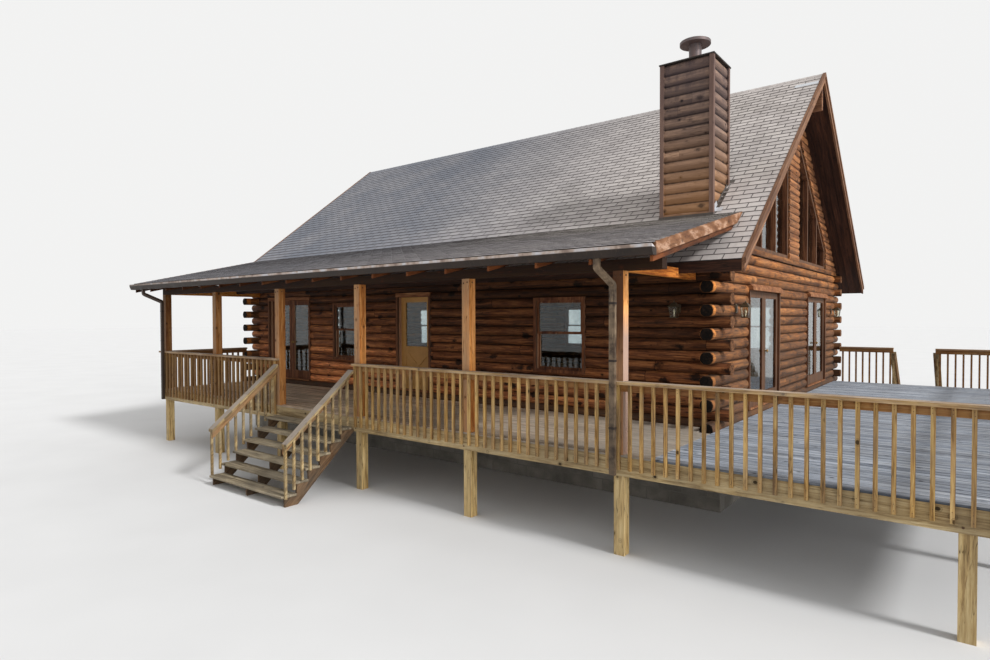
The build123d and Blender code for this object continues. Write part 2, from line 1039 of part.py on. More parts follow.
rafter_low = porch_roof_thickness + porch_rafter_depth
rafter_outline = [
    (rafter_end, porch_height(rafter_end) - porch_layer),
    on_main_roof(porch_roof_thickness),
    on_main_roof(rafter_low),
    (rafter_end, porch_height(rafter_end) - porch_drop(rafter_low)),
]
rafter_span = porch_right_end - porch_left_end - porch_rafter_thickness
rafter_count = round(rafter_span / porch_rafter_pitch) + 1
rafter_places = [
    porch_left_end + rafter_span * i / (rafter_count - 1) for i in range(rafter_count)
]
porch_rafters = group([
    prism_x(rafter_outline, place, place + porch_rafter_thickness) for place in rafter_places
])
save(porch_rafters, "porch_rafters")

rake_top = porch_drop(porch_rake_depth)
porch_rake_outline = [
    (rafter_end, porch_height(rafter_end)),
    (porch_top_place, porch_junction),
    on_main_roof(porch_rake_depth),
    (rafter_end, porch_height(rafter_end) - rake_top),
]
porch_rake_boards = [
    prism_x(porch_rake_outline, porch_right_end, porch_right_end + rake_board_thickness),
    prism_x(porch_rake_outline, porch_left_end - rake_board_thickness, porch_left_end),
]
rake_boards = group(main_rake_boards + porch_rake_boards)
save(rake_boards, "rake_boards")

# Beams and posts of the porch
post_front = rim_face + post_setback
post_back = post_front + post_size
beam_top = porch_height(post_front) - porch_drop(rafter_low)
beam_base = beam_top - beam_height
half_post = post_size / 2
front_beam = block(
    (post_places[0] - half_post, post_front, beam_base),
    (porch_right_end - rake_board_thickness, post_back, beam_top),
)
beam_under_roof = (ridge_height - roof_drop - beam_top) / main_slope
end_beam_outline = [
    (post_back + beam_joint, beam_base),
    (-half_depth, beam_base),
    (-half_depth, beam_top),
    (-beam_under_roof, beam_top),
    (-eave_place, roof_height(eave_place) - roof_drop),
    (-eave_place, beam_top),
    (post_back + beam_joint, beam_top),
]
end_beams = [
    prism_x(end_beam_outline, place - end_beam_thickness / 2, place + end_beam_thickness / 2)
    for place in end_beam_places
]
porch_beams = group([front_beam] + end_beams)
save(porch_beams, "porch_beams")
porch_posts = group([
    block((x - half_post, post_front, deck_height), (x + half_post, post_back, beam_base))
    for x in post_places
])
save(porch_posts, "porch_posts")

# Gutter along the porch eave, open above
gutter_base = porch_eave_height - gutter_depth
gutter_back = rafter_end
with BuildPart() as porch_gutter:
    with BuildSketch(Plane.YZ.offset(porch_left_end - rake_board_thickness)):
        with BuildLine():
            Polyline(
                (porch_eave_place, porch_eave_height),
                (porch_eave_place, porch_eave_height - gutter_lip),
                (porch_eave_place + 0.2 * gutter_width, gutter_base + 0.15 * gutter_depth),
                (porch_eave_place + 0.25 * gutter_width, gutter_base),
                (gutter_back, gutter_base),
                (gutter_back, porch_eave_height - gutter_lip),
            )
            offset(amount=gutter_wall, side=Side.LEFT)
        make_face()
    extrude(amount=porch_right_end - porch_left_end + 2 * rake_board_thickness)
save(porch_gutter, "porch_gutter")

# Downspouts: out of the gutter, back to the post and down past the deck
spout_front = rim_face - baluster_size - rail_cap_lip - spout_clearance - spout_depth / 2
spout_gutter_place = porch_eave_place + 0.6 * gutter_width
spout_end = deck_height - rim_height


def downspout(top_x, low_x):
    """Rectangular pipe with two elbows."""
    top = gutter_base
    with BuildPart() as piece:
        with BuildLine():
            FilletPolyline(
                (top_x, spout_gutter_place, top),
                (top_x, spout_gutter_place, top - spout_neck),
                (low_x, spout_front, top - spout_neck - spout_fall),
                (low_x, spout_front, spout_end),
                radius=spout_bend,
            )
        with BuildSketch(Plane.XY.offset(top)):
            with Locations((top_x, spout_gutter_place)):
                Rectangle(spout_width, spout_depth)
        sweep()
    return piece.part


right_spout_x = half_length - right_spout_inset
left_spout_x = left_spout_inset - half_length
downspouts = group([
    downspout(right_spout_x - right_spout_shift, right_spout_x),
    downspout(left_spout_x - left_spout_shift, left_spout_x),
])
save(downspouts, "downspouts")

# Chimney chase with siding, corner boards, cap and flue
chimney_front = porch_top_place + 4
chimney_back = chimney_front + chimney_depth
chimney_right = chimney_left + chimney_width
chimney_base = roof_height(chimney_front)
chase_rows = math.ceil((chimney_top - chimney_base) / chimney_course) + 1
chase_low = chimney_top - chase_rows * chimney_course


def chase_section(low_side, high_side):
    """A section with rounded boards on both faces."""
    with BuildLine() as outline:
        Line((low_side + chimney_bulge, chase_low), (high_side - chimney_bulge, chase_low))
        Line((low_side + chimney_bulge, chimney_top), (high_side - chimney_bulge, chimney_top))
        for row in range(chase_rows):
            base = chase_low + row * chimney_course
            top = base + chimney_course
            middle = (base + top) / 2
            for wall, inner in ((low_side, low_side + chimney_bulge), (high_side, high_side - chimney_bulge)):
                ThreePointArc((inner, base), (wall, middle), (inner, top))
    return outline.line


board = corner_board_thickness
with BuildPart() as chimney:
    with BuildSketch(Plane.YZ.offset(chimney_left + chimney_bulge + board)):
        add(chase_section(chimney_front + board, chimney_back - board))
        make_face()
    extrude(amount=chimney_width - 2 * chimney_bulge - 2 * board)
    with BuildSketch(Plane.XZ.offset(-chimney_back + chimney_bulge + board)):
        add(chase_section(chimney_left + board, chimney_right - board))
        make_face()
    extrude(amount=chimney_depth - 2 * chimney_bulge - 2 * board)
    for x in (chimney_left, chimney_right - corner_board):
        for y in (chimney_front, chimney_back - corner_board):
            add(block((x, y, chase_low), (x + corner_board, y + corner_board, chimney_top)))
    add(
        prism_x(
            [
                (-half_depth, ridge_height - 2 * half_depth),
                (-half_depth, roof_height(half_depth)),
                (0, ridge_height),
                (0, ridge_height - 2 * half_depth),
            ],
            chimney_left - chimney_width,
            chimney_right + chimney_width,
        ),
        mode=Mode.SUBTRACT,
    )
save(chimney, "chimney")

flue_base = chimney_top + cap_thickness
flue_spot = ((chimney_left + chimney_right) / 2, (chimney_front + chimney_back) / 2)
with BuildPart() as chimney_cap:
    with BuildSketch(Plane.XY.offset(chimney_top)):
        with Locations(flue_spot):
            Rectangle(chimney_width + 2 * cap_overhang, chimney_depth + 2 * cap_overhang)
    extrude(amount=cap_thickness)
    with BuildSketch(Plane.XY.offset(flue_base)):
        with Locations(flue_spot):
            Circle(flue_radius)
    extrude(amount=flue_height)
    with BuildSketch(Plane.XY.offset(flue_base + flue_height)):
        with Locations(flue_spot):
            Circle(flue_cap_radius)
    extrude(amount=flue_cap_thickness)
save(chimney_cap, "chimney_cap")

# Decks: boards as one slab each, with rim boards and posts below
board_base = deck_height - board_thickness
notch = half_length - log_diameter
notch_front = -half_depth - front_log_overhang
with BuildPart() as porch_deck:
    add(block((deck_left, rim_face, board_base), (half_length, -half_depth, deck_height)))
    add(
        [
            block((-half_length, notch_front, board_base), (-notch, 0, deck_height)),
            block((notch, notch_front, board_base), (half_length, 0, deck_height)),
        ],
        mode=Mode.SUBTRACT,
    )
save(porch_deck, "porch_deck")
side_deck = group([
    block((half_length, rim_face, board_base), (deck_right, side_deck_back, deck_height))
])
save(side_deck, "side_deck")

rim_base = board_base - rim_height
inner_front = rim_face + rim_thickness
deck_rims = group([
    block((deck_left, rim_face, rim_base), (deck_right, inner_front, board_base)),
    block(
        (deck_left, inner_front + rim_gap, rim_base),
        (deck_left + rim_thickness, notch_front - rim_gap, board_base),
    ),
    block(
        (deck_right - rim_thickness, inner_front + rim_gap, rim_base),
        (deck_right, side_deck_back - rim_thickness - rim_gap, board_base),
    ),
    block(
        (half_length + side_log_overhang, side_deck_back - rim_thickness, rim_base),
        (deck_right, side_deck_back, board_base),
    ),
])
save(deck_rims, "deck_rims")

deck_post_places = []
for x in post_places:
    x = max(x, deck_left + rim_thickness + half_post)
    deck_post_places.append((x, rim_face + rim_thickness + half_post))
deck_post_places.append((deck_right - deck_post_inset, rim_face + rim_thickness + half_post))
side_span = side_deck_back - rim_face - 2 * rim_thickness - post_size
side_bays = round(side_span / side_deck_post_pitch)
for i in range(1, side_bays + 1):
    y = rim_face + rim_thickness + half_post + side_span * i / side_bays
    deck_post_places.append((deck_right - rim_thickness - half_post, y))
deck_posts = group([
    block((x - half_post, y - half_post, 0), (x + half_post, y + half_post, board_base))
    for x, y in deck_post_places
])
save(deck_posts, "deck_posts")

# Railings
cap_top = deck_height + rail_height
cap_base = cap_top - rail_cap_thickness
baluster_low = deck_height - baluster_drop


def baluster_places(start, end, anchor=None):
    """Even places along a rail, centred on it or counted from a known one."""
    low = start + baluster_size / 2
    high = end - baluster_size / 2
    if anchor is None:
        steps = int((high - low) // baluster_pitch)
        first = (low + high - steps * baluster_pitch) / 2
    else:
        first = anchor - math.floor((anchor - low) / baluster_pitch) * baluster_pitch
        steps = int((high - first) // baluster_pitch)
    return [first + i * baluster_pitch for i in range(steps + 1)]


def rail_along_x(start, end, face, side, anchor=None):
    """Cap, top rail and balusters; side is -1 where the rail faces -Y."""
    outer = face + side * (baluster_size + rail_cap_lip)
    inner = outer - side * rail_cap_width
    back = face - side * subrail_thickness
    front = face + side * baluster_size
    pieces = [
        block((start, min(outer, inner), cap_base), (end, max(outer, inner), cap_top)),
        block((start, min(face, back), cap_base - subrail_height), (end, max(face, back), cap_base)),
    ]
    for x in baluster_places(start, end, anchor):
        pieces.append(block(
            (x - baluster_size / 2, min(face, front), baluster_low),
            (x + baluster_size / 2, max(face, front), cap_base),
        ))
    return group(pieces).part


def rail_along_y(start, end, face, side):
    """The same rail, along Y; side is -1 where it faces -X."""
    outer = face + side * (baluster_size + rail_cap_lip)
    inner = outer - side * rail_cap_width
    back = face - side * subrail_thickness
    front = face + side * baluster_size
    pieces = [
        block((min(outer, inner), start, cap_base), (max(outer, inner), end, cap_top)),
        block((min(face, back), start, cap_base - subrail_height), (max(face, back), end, cap_base)),
    ]
    for y in baluster_places(start, end):
        pieces.append(block(
            (min(face, front), y - baluster_size / 2, baluster_low),
            (max(face, front), y + baluster_size / 2, cap_base),
        ))
    return group(pieces).part


post_blocks = [
    block((x - half_post, post_front, deck_height), (x + half_post, post_back, beam_base))
    for x in post_places
]
stair_left = post_places[2] + half_post
stair_right = post_places[3] - half_post
rail_reach = baluster_size + rail_cap_lip
known_baluster = half_length - baluster_inset
with BuildPart() as front_rails:
    add([
        rail_along_x(deck_left - rail_reach, stair_left, rim_face, -1, known_baluster),
        rail_along_x(stair_right, deck_right + rail_reach, rim_face, -1, known_baluster),
    ])
    add(post_blocks, mode=Mode.SUBTRACT)
save(front_rails, "front_rails")

rail_start = rim_face + rail_cap_width - rail_reach + rim_gap
right_rail_end = side_deck_back - rail_cap_width + rail_reach - rim_gap
with BuildPart() as end_rails:
    add([
        rail_along_y(rail_start, notch_front - rim_gap, deck_left, -1),
        rail_along_y(rail_start, right_rail_end, deck_right, 1),
    ])
    add(post_blocks, mode=Mode.SUBTRACT)
save(end_rails, "end_rails")
back_rails = group([
    rail_along_x(half_length + side_log_overhang + rim_gap, back_gap_left, side_deck_back, 1),
    rail_along_x(back_gap_right, deck_right + rail_reach, side_deck_back, 1),
])
save(back_rails, "back_rails")

# Stairs, at the front between two posts and at the back of the side deck
riser = deck_height / stair_steps
front_stair_left = stair_left + stair_side_gap
front_stair_right = stair_right - stair_side_gap
stair_flights = [
    (front_stair_left, front_stair_right, rim_face, -1),
    (back_gap_left, back_gap_right, side_deck_back, 1),
]


def nose_place(face, side, step):
    """Front edge of a tread, counted down from the deck."""
    return face + side * (stair_setout + (step - 1) * tread_run)


def tread(left, right, face, side, step):
    """One open tread."""
    nose = nose_place(face, side, step)
    back = nose - side * tread_depth
    top = deck_height - step * riser
    return block(
        (left, min(nose, back), top - tread_thickness), (right, max(nose, back), top)
    )


treads = []
for left, right, face, side in stair_flights:
    for step in range(1, stair_steps):
        treads.append(tread(left, right, face, side, step))
stair_treads = group(treads)
save(stair_treads, "stair_treads")


def stringer(x, face, side):
    """A notched stringer under the treads, level on the ground."""
    seat = deck_height - riser - tread_thickness
    points = [(face, seat)]
    for step in range(2, stair_steps):
        back = nose_place(face, side, step) - side * tread_depth
        points.append((back, seat))
        seat -= riser
        points.append((back, seat))
    foot = nose_place(face, side, stair_steps) - side * tread_depth
    points.append((foot, seat))
    points.append((foot, 0))
    points.append((foot - side * stringer_depth, 0))
    points.append((face, rim_base))
    return prism_x(points, x, x + stringer_thickness)


stringers = []
for left, right, face, side in stair_flights:
    places = [left, right - stringer_thickness]
    if right - left > 1500:
        places.insert(1, (left + right - stringer_thickness) / 2)
    stringers += [stringer(x, face, side) for x in places]
stair_stringers = group(stringers)
save(stair_stringers, "stair_stringers")


def hand_rail(x, face, side):
    """A sloped flat rail on balusters that stand beside the stringer."""
    slope = riser / tread_run
    run = stair_setout + (stair_steps - 2) * tread_run
    low = x - hand_rail_width / 2
    drop = hand_rail_thickness * math.hypot(1, slope)
    reach = run - hand_rail_setback

    def rail_top(distance):
        return deck_height + hand_rail_height - slope * distance

    pieces = [prism_x(
        [
            (face + side * rail_reach, rail_top(rail_reach)),
            (face + side * reach, rail_top(reach)),
            (face + side * reach, rail_top(reach) - drop),
            (face + side * rail_reach, rail_top(rail_reach) - drop),
        ],
        low,
        low + hand_rail_width,
    )]
    count = int((reach - rail_reach - baluster_size) // baluster_pitch) + 1
    for i in range(count):
        far = reach - i * baluster_pitch
        near = far - baluster_size
        foot = max(rail_top(far) - hand_rail_foot, 0)
        pieces.append(prism_x(
            [
                (face + side * near, foot),
                (face + side * far, foot),
                (face + side * far, rail_top(far) - drop),
                (face + side * near, rail_top(near) - drop),
            ],
            x - baluster_size / 2,
            x + baluster_size / 2,
        ))
    return group(pieces).part


rails = []
for left, right, face, side in stair_flights:
    rails.append(hand_rail(left - baluster_size / 2, face, side))
    rails.append(hand_rail(right + baluster_size / 2, face, side))
stair_rails = group(rails)
save(stair_rails, "stair_rails")


# Wall lanterns: back plate, arm, glass box and roof
def lantern_tier(piece_width, base, other_width, top):
    """A square tier of a lantern that widens or narrows upwards."""
    centre = lantern_width / 2 - lantern_reach
    with BuildPart() as tier:
        for width, height in ((piece_width, base), (other_width, top)):
            with BuildSketch(Plane.XY.offset(height)):
                with Locations((0, centre)):
                    Rectangle(width, width)
        loft()
    return tier.part


def lantern():
    """A box lantern on the front wall's outer face, facing -Y."""
    half = lantern_height / 2
    centre = lantern_width / 2 - lantern_reach
    with BuildPart() as piece:
        add([
            block((-45, -20, -0.4 * half), (45, 0, 0.6 * half)),
            block((-8, centre, 0.45 * half), (8, -20, 0.57 * half)),
            lantern_tier(0.62 * lantern_width, -half, 0.66 * lantern_width, -0.86 * half),
            lantern_tier(0.58 * lantern_width, -0.86 * half, 0.86 * lantern_width, 0.3 * half),
            lantern_tier(lantern_width, 0.3 * half, 0.3 * lantern_width, 0.8 * half),
            lantern_tier(0.2 * lantern_width, 0.8 * half, 0.08 * lantern_width, half),
        ])
    return piece.part


lantern_height_place = deck_height + lantern_centre
front_lantern_place = half_length - front_lantern_inset
side_lantern_place = (half_depth + side_door_place + side_door_opening / 2) / 2
lantern_spots = [Location((front_lantern_place, -half_depth, lantern_height_place))]
for side in (-1, 1):
    lantern_spots.append(
        Location((half_length, side * side_lantern_place, lantern_height_place), (0, 0, 90))
    )
wall_lanterns = group([lantern().moved(spot) for spot in lantern_spots])
save(wall_lanterns, "wall_lanterns")
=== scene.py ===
import math
import random

import bpy
from mathutils import Matrix, Vector


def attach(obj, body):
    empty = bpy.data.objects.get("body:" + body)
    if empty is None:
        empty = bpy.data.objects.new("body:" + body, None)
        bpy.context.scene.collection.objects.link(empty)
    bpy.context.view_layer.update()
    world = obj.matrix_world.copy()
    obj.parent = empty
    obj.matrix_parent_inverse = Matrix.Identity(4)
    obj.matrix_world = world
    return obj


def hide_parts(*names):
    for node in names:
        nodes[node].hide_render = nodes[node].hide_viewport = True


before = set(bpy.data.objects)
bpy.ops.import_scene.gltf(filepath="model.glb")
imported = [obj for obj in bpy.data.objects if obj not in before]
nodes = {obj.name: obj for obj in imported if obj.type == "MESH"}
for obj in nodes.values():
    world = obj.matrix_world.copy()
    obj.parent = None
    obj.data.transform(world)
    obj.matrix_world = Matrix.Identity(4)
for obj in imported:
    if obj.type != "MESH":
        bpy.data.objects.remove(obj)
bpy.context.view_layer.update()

# Sizes in metres, in the CAD frame: the house, its logs, and where the gables start
HALF_LENGTH, HALF_DEPTH = 6.34, 4.61
LOG, COURSE, LOG_BASE, LOG_COURSES = 0.2, 0.176, 1.198, 16
FRONT_TAIL, SIDE_TAIL = 0.34, 0.135
PLATE = 4.113

# Main roof, porch roof with its first row of shingles, and the lengths of a shingle
SLOPE, RIDGE, ROOF_END, EAVE, ROOF_THICK = 0.774, 7.858, 6.84, 5.30, 0.14
PORCH_SLOPE, PORCH_EAVE, PORCH_EAVE_HIGH, JUNCTION = 0.2356, -7.577, 3.769, -4.279
PORCH_LEFT, PORCH_RIGHT = -6.84, 6.513
PORCH_FIRST = -7.482
PORCH_FIRST_HIGH = PORCH_EAVE_HIGH + PORCH_SLOPE * (PORCH_FIRST - PORCH_EAVE)
EXPOSURE, TAB, SLOT = 0.143, 0.305, 0.009

# Chimney chase: left, right, front and back face, its top and the top of its cap
CHIMNEY, CHASE_TOP, CAP_TOP = (5.22, 6.10, -4.275, -3.475), 7.05, 7.07

# Decks, balusters and posts
DECK, RIM, DECK_LEFT, DECK_RIGHT, DECK_BACK = 1.26, -7.116, -6.20, 10.0, 4.38
PORCH_BOARDS, SIDE_BOARDS = 17, 79
BALUSTER, PITCH = 0.038, 0.1504
POSTS = (-6.117, -3.7735, -1.3904, 0.9916, 3.4433, 5.907)

# Stairs: left and right side, face of the deck's rim and the way down; rise and going of the steps
STAIRS = ((-1.3004, 0.9016, RIM, -1), (7.67, 8.53, DECK_BACK, 1))
STEPS, RISE, GOING, FIRST_NOSE, STAIR_SLOPE = 6, 0.18, 0.219, 0.325, 0.822


def linear(colour):
    """A colour written in 0 to 255 as the renderer's linear values."""
    shares = [v / 255 for v in colour]
    return tuple(v / 12.92 if v <= 0.04045 else ((v + 0.055) / 1.055) ** 2.4 for v in shares) + (1.0,)


def math_node(operation, swapped=False):
    """A method of Value that adds a Math node, with its operands swapped if asked."""
    def method(self, *others):
        operands = (self, *others)
        inputs = enumerate(operands[::-1] if swapped else operands)
        return self.graph.out("Math", inputs, operation=operation)
    return method


class Value:
    """A number, or what comes out of a node, with arithmetic that adds nodes."""

    def __init__(self, graph, socket):
        self.graph, self.socket = graph, socket

    __add__ = __radd__ = math_node("ADD")
    __mul__ = __rmul__ = math_node("MULTIPLY")
    __sub__ = math_node("SUBTRACT")
    __rsub__ = math_node("SUBTRACT", swapped=True)
    __truediv__ = math_node("DIVIDE")
    __gt__ = math_node("GREATER_THAN")
    __lt__ = math_node("LESS_THAN")
    __abs__ = math_node("ABSOLUTE")
    larger = math_node("MAXIMUM")
    floor = math_node("FLOOR")
    fract = math_node("FRACT")
    pingpong = math_node("PINGPONG")
    sign = math_node("SIGN")
    root = math_node("SQRT")
    sine = math_node("SINE")
    arctan2 = math_node("ARCTAN2")

    def span(self, low, high, start=0.0, end=1.0):
        """The value's place between low and high, from start to end."""
        inputs = [(0, self), (1, low), (2, high), (3, start), (4, end)]
        return self.graph.out("MapRange", inputs)

    def ragged(self, amount, *noise):
        """The value moved up and down by noise, so that an edge made of it is ragged."""
        return self + (self.graph.place.noise(*noise) - 0.5) * amount

    def scaled(self, *scale):
        return self.graph.out("Mapping", [("Vector", self), ("Scale", scale)])

    def noise(self, scale, detail=4.0, rough=0.55, distortion=0.0):
        inputs = [
            ("Vector", self), ("Scale", scale), ("Detail", detail),
            ("Roughness", rough), ("Distortion", distortion),
        ]
        return self.graph.out("TexNoise", inputs)

    def cells(self, scale):
        return self.graph.out("TexVoronoi", [("Vector", self), ("Scale", scale)], "Distance")

    def ramp(self, *stops):
        made = self.graph.node("ValToRGB", [(0, self)])
        band = made.color_ramp.elements
        band[0].position, band[1].position = stops[0][0], stops[-1][0]
        for place, _ in stops[1:-1]:
            band.new(place)
        for stop, (_, colour) in zip(band, stops):
            stop.color = linear(colour)
        return Value(self.graph, made.outputs[0])


class Graph:
    """One material and short calls for the nodes that it uses."""

    def __init__(self, name, rough=0.7, **sockets):
        self.material = bpy.data.materials.new(name)
        self.material.use_nodes = True
        self.tree = self.material.node_tree
        self.shader = self.tree.nodes["Principled BSDF"]
        for key, value in {"Roughness": rough, **sockets}.items():
            self.shader.inputs[key.replace("_", " ")].default_value = value
        self.place = self.out("TexCoord", key="Object")
        self.x, self.y, self.z = self.split(self.place)

    def put(self, socket, value):
        if isinstance(value, Value):
            value = value.socket
        if isinstance(value, bpy.types.NodeSocket):
            self.tree.links.new(value, socket)
        else:
            plain = socket.type == "RGBA" and len(value) == 3
            socket.default_value = linear(value) if plain else value

    def node(self, kind, inputs=(), **settings):
        made = self.tree.nodes.new("ShaderNode" + kind)
        for key, value in settings.items():
            setattr(made, key, value)
        for key, value in inputs:
            self.put(made.inputs[key], value)
        return made

    def out(self, kind, inputs=(), key=0, **settings):
        """One output of a new node."""
        return Value(self, self.node(kind, inputs, **settings).outputs[key])

    def split(self, vector):
        return [Value(self, part) for part in self.node("SeparateXYZ", [(0, vector)]).outputs]

    def combine(self, x, y, z):
        return self.out("CombineXYZ", [(0, x), (1, y), (2, z)])

    def total(self, a, b):
        """The sum of two vectors."""
        return self.out("VectorMath", [(0, a), (1, b)], operation="ADD")

    def white(self, *values):
        """One random number for each set of three numbers."""
        return self.out("TexWhiteNoise", [("Vector", self.combine(*values))], "Value", noise_dimensions="3D")

    def mix(self, amount, a, b):
        return self.out("Mix", [(0, amount), (6, a), (7, b)], 2, data_type="RGBA")

    def either(self, mask, a, b):
        """Vector a, or b where the mask is 1."""
        return self.out("Mix", [(0, mask), (4, a), (5, b)], 1, data_type="VECTOR")

    def shade(self, colour, value):
        return self.out("HueSaturation", [("Color", colour), ("Value", value)])

    def facing(self, axis):
        """How far the surface faces along an axis of the part."""
        if not hasattr(self, "normal"):
            self.normal = self.split(self.out("TexCoord", key="Normal"))
        return self.normal[axis]

    def island(self):
        return self.out("NewGeometry", key="Random Per Island")

    def paint(self, colour):
        self.colour = colour
        self.put(self.shader.inputs["Base Color"], colour)
        return self

    def dim(self, factor):
        """Make the finished colours lighter or darker by place."""
        return self.paint(self.shade(self.colour, factor))

    def stain(self, amount, colour):
        """Lay another colour over the finished ones by place."""
        return self.paint(self.mix(amount, self.colour, colour))

    def finish(self, colour, height=None, depth=0.002, strength=0.6, rough=None):
        """Set the colour, the relief and, where it varies, the roughness."""
        if rough is not None:
            self.put(self.shader.inputs["Roughness"], rough)
        if height is not None:
            inputs = [("Height", height), ("Distance", depth), ("Strength", strength)]
            self.put(self.shader.inputs["Normal"], self.out("Bump", inputs))
        return self.paint(colour)


def along(g, axis, squeeze=0.06):
    """Coordinates squeezed along the grain: x, y, z or a roof's slope."""
    if axis in ("x", "y", "z"):
        return g.place.scaled(*(squeeze if axis == a else 1.0 for a in "xyz"))
    angle = math.atan(axis)
    level = abs(g.y)
    down = level * math.cos(angle) - g.z * math.sin(angle)
    off = level * math.sin(angle) + g.z * math.cos(angle)
    return g.combine(g.x, down * squeeze, off)


def fraction(place, base, pitch):
    """How far a place lies across its course or board, from 0 to 1."""
    return ((place - base) / pitch).fract()


def courses(g, run, base, course, length, wall):
    """Tone of each length of log in each course, and the seams between lengths."""
    row = ((g.z - base) / course).floor()
    place = run + g.white(row, wall, 3.0) * length
    seam = place.pingpong(length / 2) < 0.004
    return g.white(row, (place / length).floor(), wall), seam


def course_joint(g, base, course, strength):
    """Dirt and shade close to the joints between courses."""
    edge = abs(fraction(g.z, base, course) - 0.5).ragged(0.16, 9.0, 3.0)
    return edge.span(0.38, 0.5, 0.0, strength)


def board_edges(g, base, width, strength):
    """Dirt along the two edges of boards that lie side by side and run along X."""
    return abs(fraction(g.y, base, width) - 0.5).span(0.40, 0.49, 0.0, strength)


def wood(g, grain, colours, tone=None, seam=None, grey=None, knots=0.6, cracks=0.6, vary=0.2, depth=0.002,
         joint=None, tint=None, spread=0.1):
    """Sawn or peeled wood: grain, knots, checks, weathering and a tone for each board."""
    dark, mid, light = colours
    g.shader.inputs["Specular IOR Level"].default_value = 0.2
    if not isinstance(tone, Value):
        tone = g.island() if tone is None else Value(g, tone)
    moved = g.total(grain, g.combine(tone * 19.0, tone * 31.0, tone * 23.0))
    fine = moved.noise(60.0, 6.0, 0.7, 0.5)
    broad = moved.noise(8.0, 4.0, 0.6, 1.2)
    black = tuple(0.22 * v for v in linear(dark)[:3]) + (1.0,)
    blend = fine * 0.5 + broad * 0.5
    colour = blend.ramp((0.5 - spread, dark), (0.50, mid), (0.5 + 1.1 * spread, light))
    height = fine * 0.7
    if grey:
        patch = g.place.noise(1.9, 6.0, 0.65) + fine * 0.3
        colour = g.mix(patch.span(0.52, 0.78) * grey[0], colour, grey[1])
    if tint:
        colour = g.mix(tint[0], colour, tint[1])
    if knots:
        spots = g.total(g.place, moved.scaled(0.25, 0.25, 0.25)).cells(3.6)
        spot = spots.span(0.07, 0.11, knots, 0.0)
        ring = abs(spots - 0.13).span(0.0, 0.03, 0.45 * knots, 0.0)
        colour = g.mix(spot.larger(ring), colour, black)
        height = height + spot * 0.8
    if cracks:
        split = abs(moved.noise(24.0, 2.0, 0.4) - 0.5).span(0.0, 0.016, cracks, 0.0)
        split = split * g.place.noise(3.1, 3.0).span(0.46, 0.56)
        colour = g.mix(split, colour, black)
        height = height - split * 1.5
    colour = g.shade(colour, tone.span(0.0, 1.0, 1.0 - vary, 1.0 + vary))
    for mask in (seam, joint):
        if mask is not None:
            colour = g.mix(mask, colour, black)
    if seam is not None:
        height = height - seam
    return g.finish(colour, height, depth, 0.8, fine.span(0.3, 0.7, 0.6, 0.88))


def plain_wood(name, axis, colours, **more):
    g = Graph(name)
    return wood(g, along(g, axis), colours, **more)


# Log walls
SHADE_LOG = ((56, 30, 17), (118, 69, 40), (176, 114, 68))
SUN_LOG = ((74, 42, 22), (136, 84, 44), (188, 125, 70))
LOG_GREY = (104, 84, 66)
GOLD = (224, 142, 68)
DIRT = (66, 56, 48)


def log_material(name, axis, wall, colours, grey):
    """The logs of one wall, with painted shade on each log's lower half. Those of the front also have painted
    light and shade: darker upwards, under the porch roof, and to the right.
    """
    g = Graph(name)
    tone, seam = courses(g, getattr(g, axis), LOG_BASE, COURSE, 4.9, wall)
    tint = None
    if axis == "y":
        # The last 12 cm of the front tails are golden
        inwards = (g.y + (HALF_DEPTH + FRONT_TAIL - 0.12)).ragged(0.07, 26.0, 3.0)
        tint = (inwards.span(-0.012, 0.012, 0.75, 0.0), GOLD)
    front = name == "logs_front"
    wood(g, along(g, axis), colours, tone, seam, (grey, LOG_GREY), knots=0.9, cracks=0.95,
         vary=0.3 if front else 0.22, depth=0.005, joint=course_joint(g, LOG_BASE, COURSE, 0.75), tint=tint)
    cloud = g.place.scaled(0.5, 0.5, 1.0).noise(2.6, 4.0, 0.6)
    spots = g.place.scaled(0.6, 0.6, 1.0).cells(4.2).ragged(0.34, 24.0, 4.0)
    blot = spots.span(0.19, 0.3, 0.9, 0.0) * cloud.span(0.40, 0.5)
    # Each log is darker on its lower half: painted shade.
    g.dim(fraction(g.z, LOG_BASE, COURSE).span(0.08, 0.6, 0.68, 1.07))
    if front:
        # Painted light and shade on the front wall: lighter to the left, darker upwards under the porch roof.
        left = g.x.span(1.2, -2.8, 0.95, 1.75) + (cloud - 0.5) * 0.5
        return g.dim(left * g.z.span(1.4, 3.35, 1.8, 0.36)).stain(blot, (14, 8, 6))
    g.stain(blot * 0.6, (40, 26, 18))
    low = g.z + (cloud - 0.5) * 1.6
    return g.dim(g.z.span(1.4, 3.9, 0.92, 1.08)).stain(low.span(1.3, 3.5, 0.62, 0.0), DIRT)


logs_front = log_material("logs_front", "x", 1.0, SHADE_LOG, 0.15)
logs_back = log_material("logs_back", "x", 5.0, SUN_LOG, 0.35)
logs_left = log_material("logs_left", "y", 9.0, SUN_LOG, 0.35)
logs_right = log_material("logs_right", "y", 13.0, SUN_LOG, 0.35)

g = Graph("sill_logs")
side_sill = abs(g.x) > HALF_LENGTH - LOG - 0.0005
sill_logs = wood(g, g.either(side_sill, along(g, "x"), along(g, "y")), SUN_LOG,
                 g.white(side_sill, g.x.sign(), g.y.sign()), None, (0.35, LOG_GREY), vary=0.1)
sill_logs.dim(0.72).stain(g.place.noise(3.0, 4.0).span(0.3, 0.7, 0.45, 0.8), DIRT)

GABLE = ((78, 44, 26), (137, 86, 51), (188, 128, 80))
CHASE = ((82, 64, 56), (136, 110, 94), (182, 148, 122))


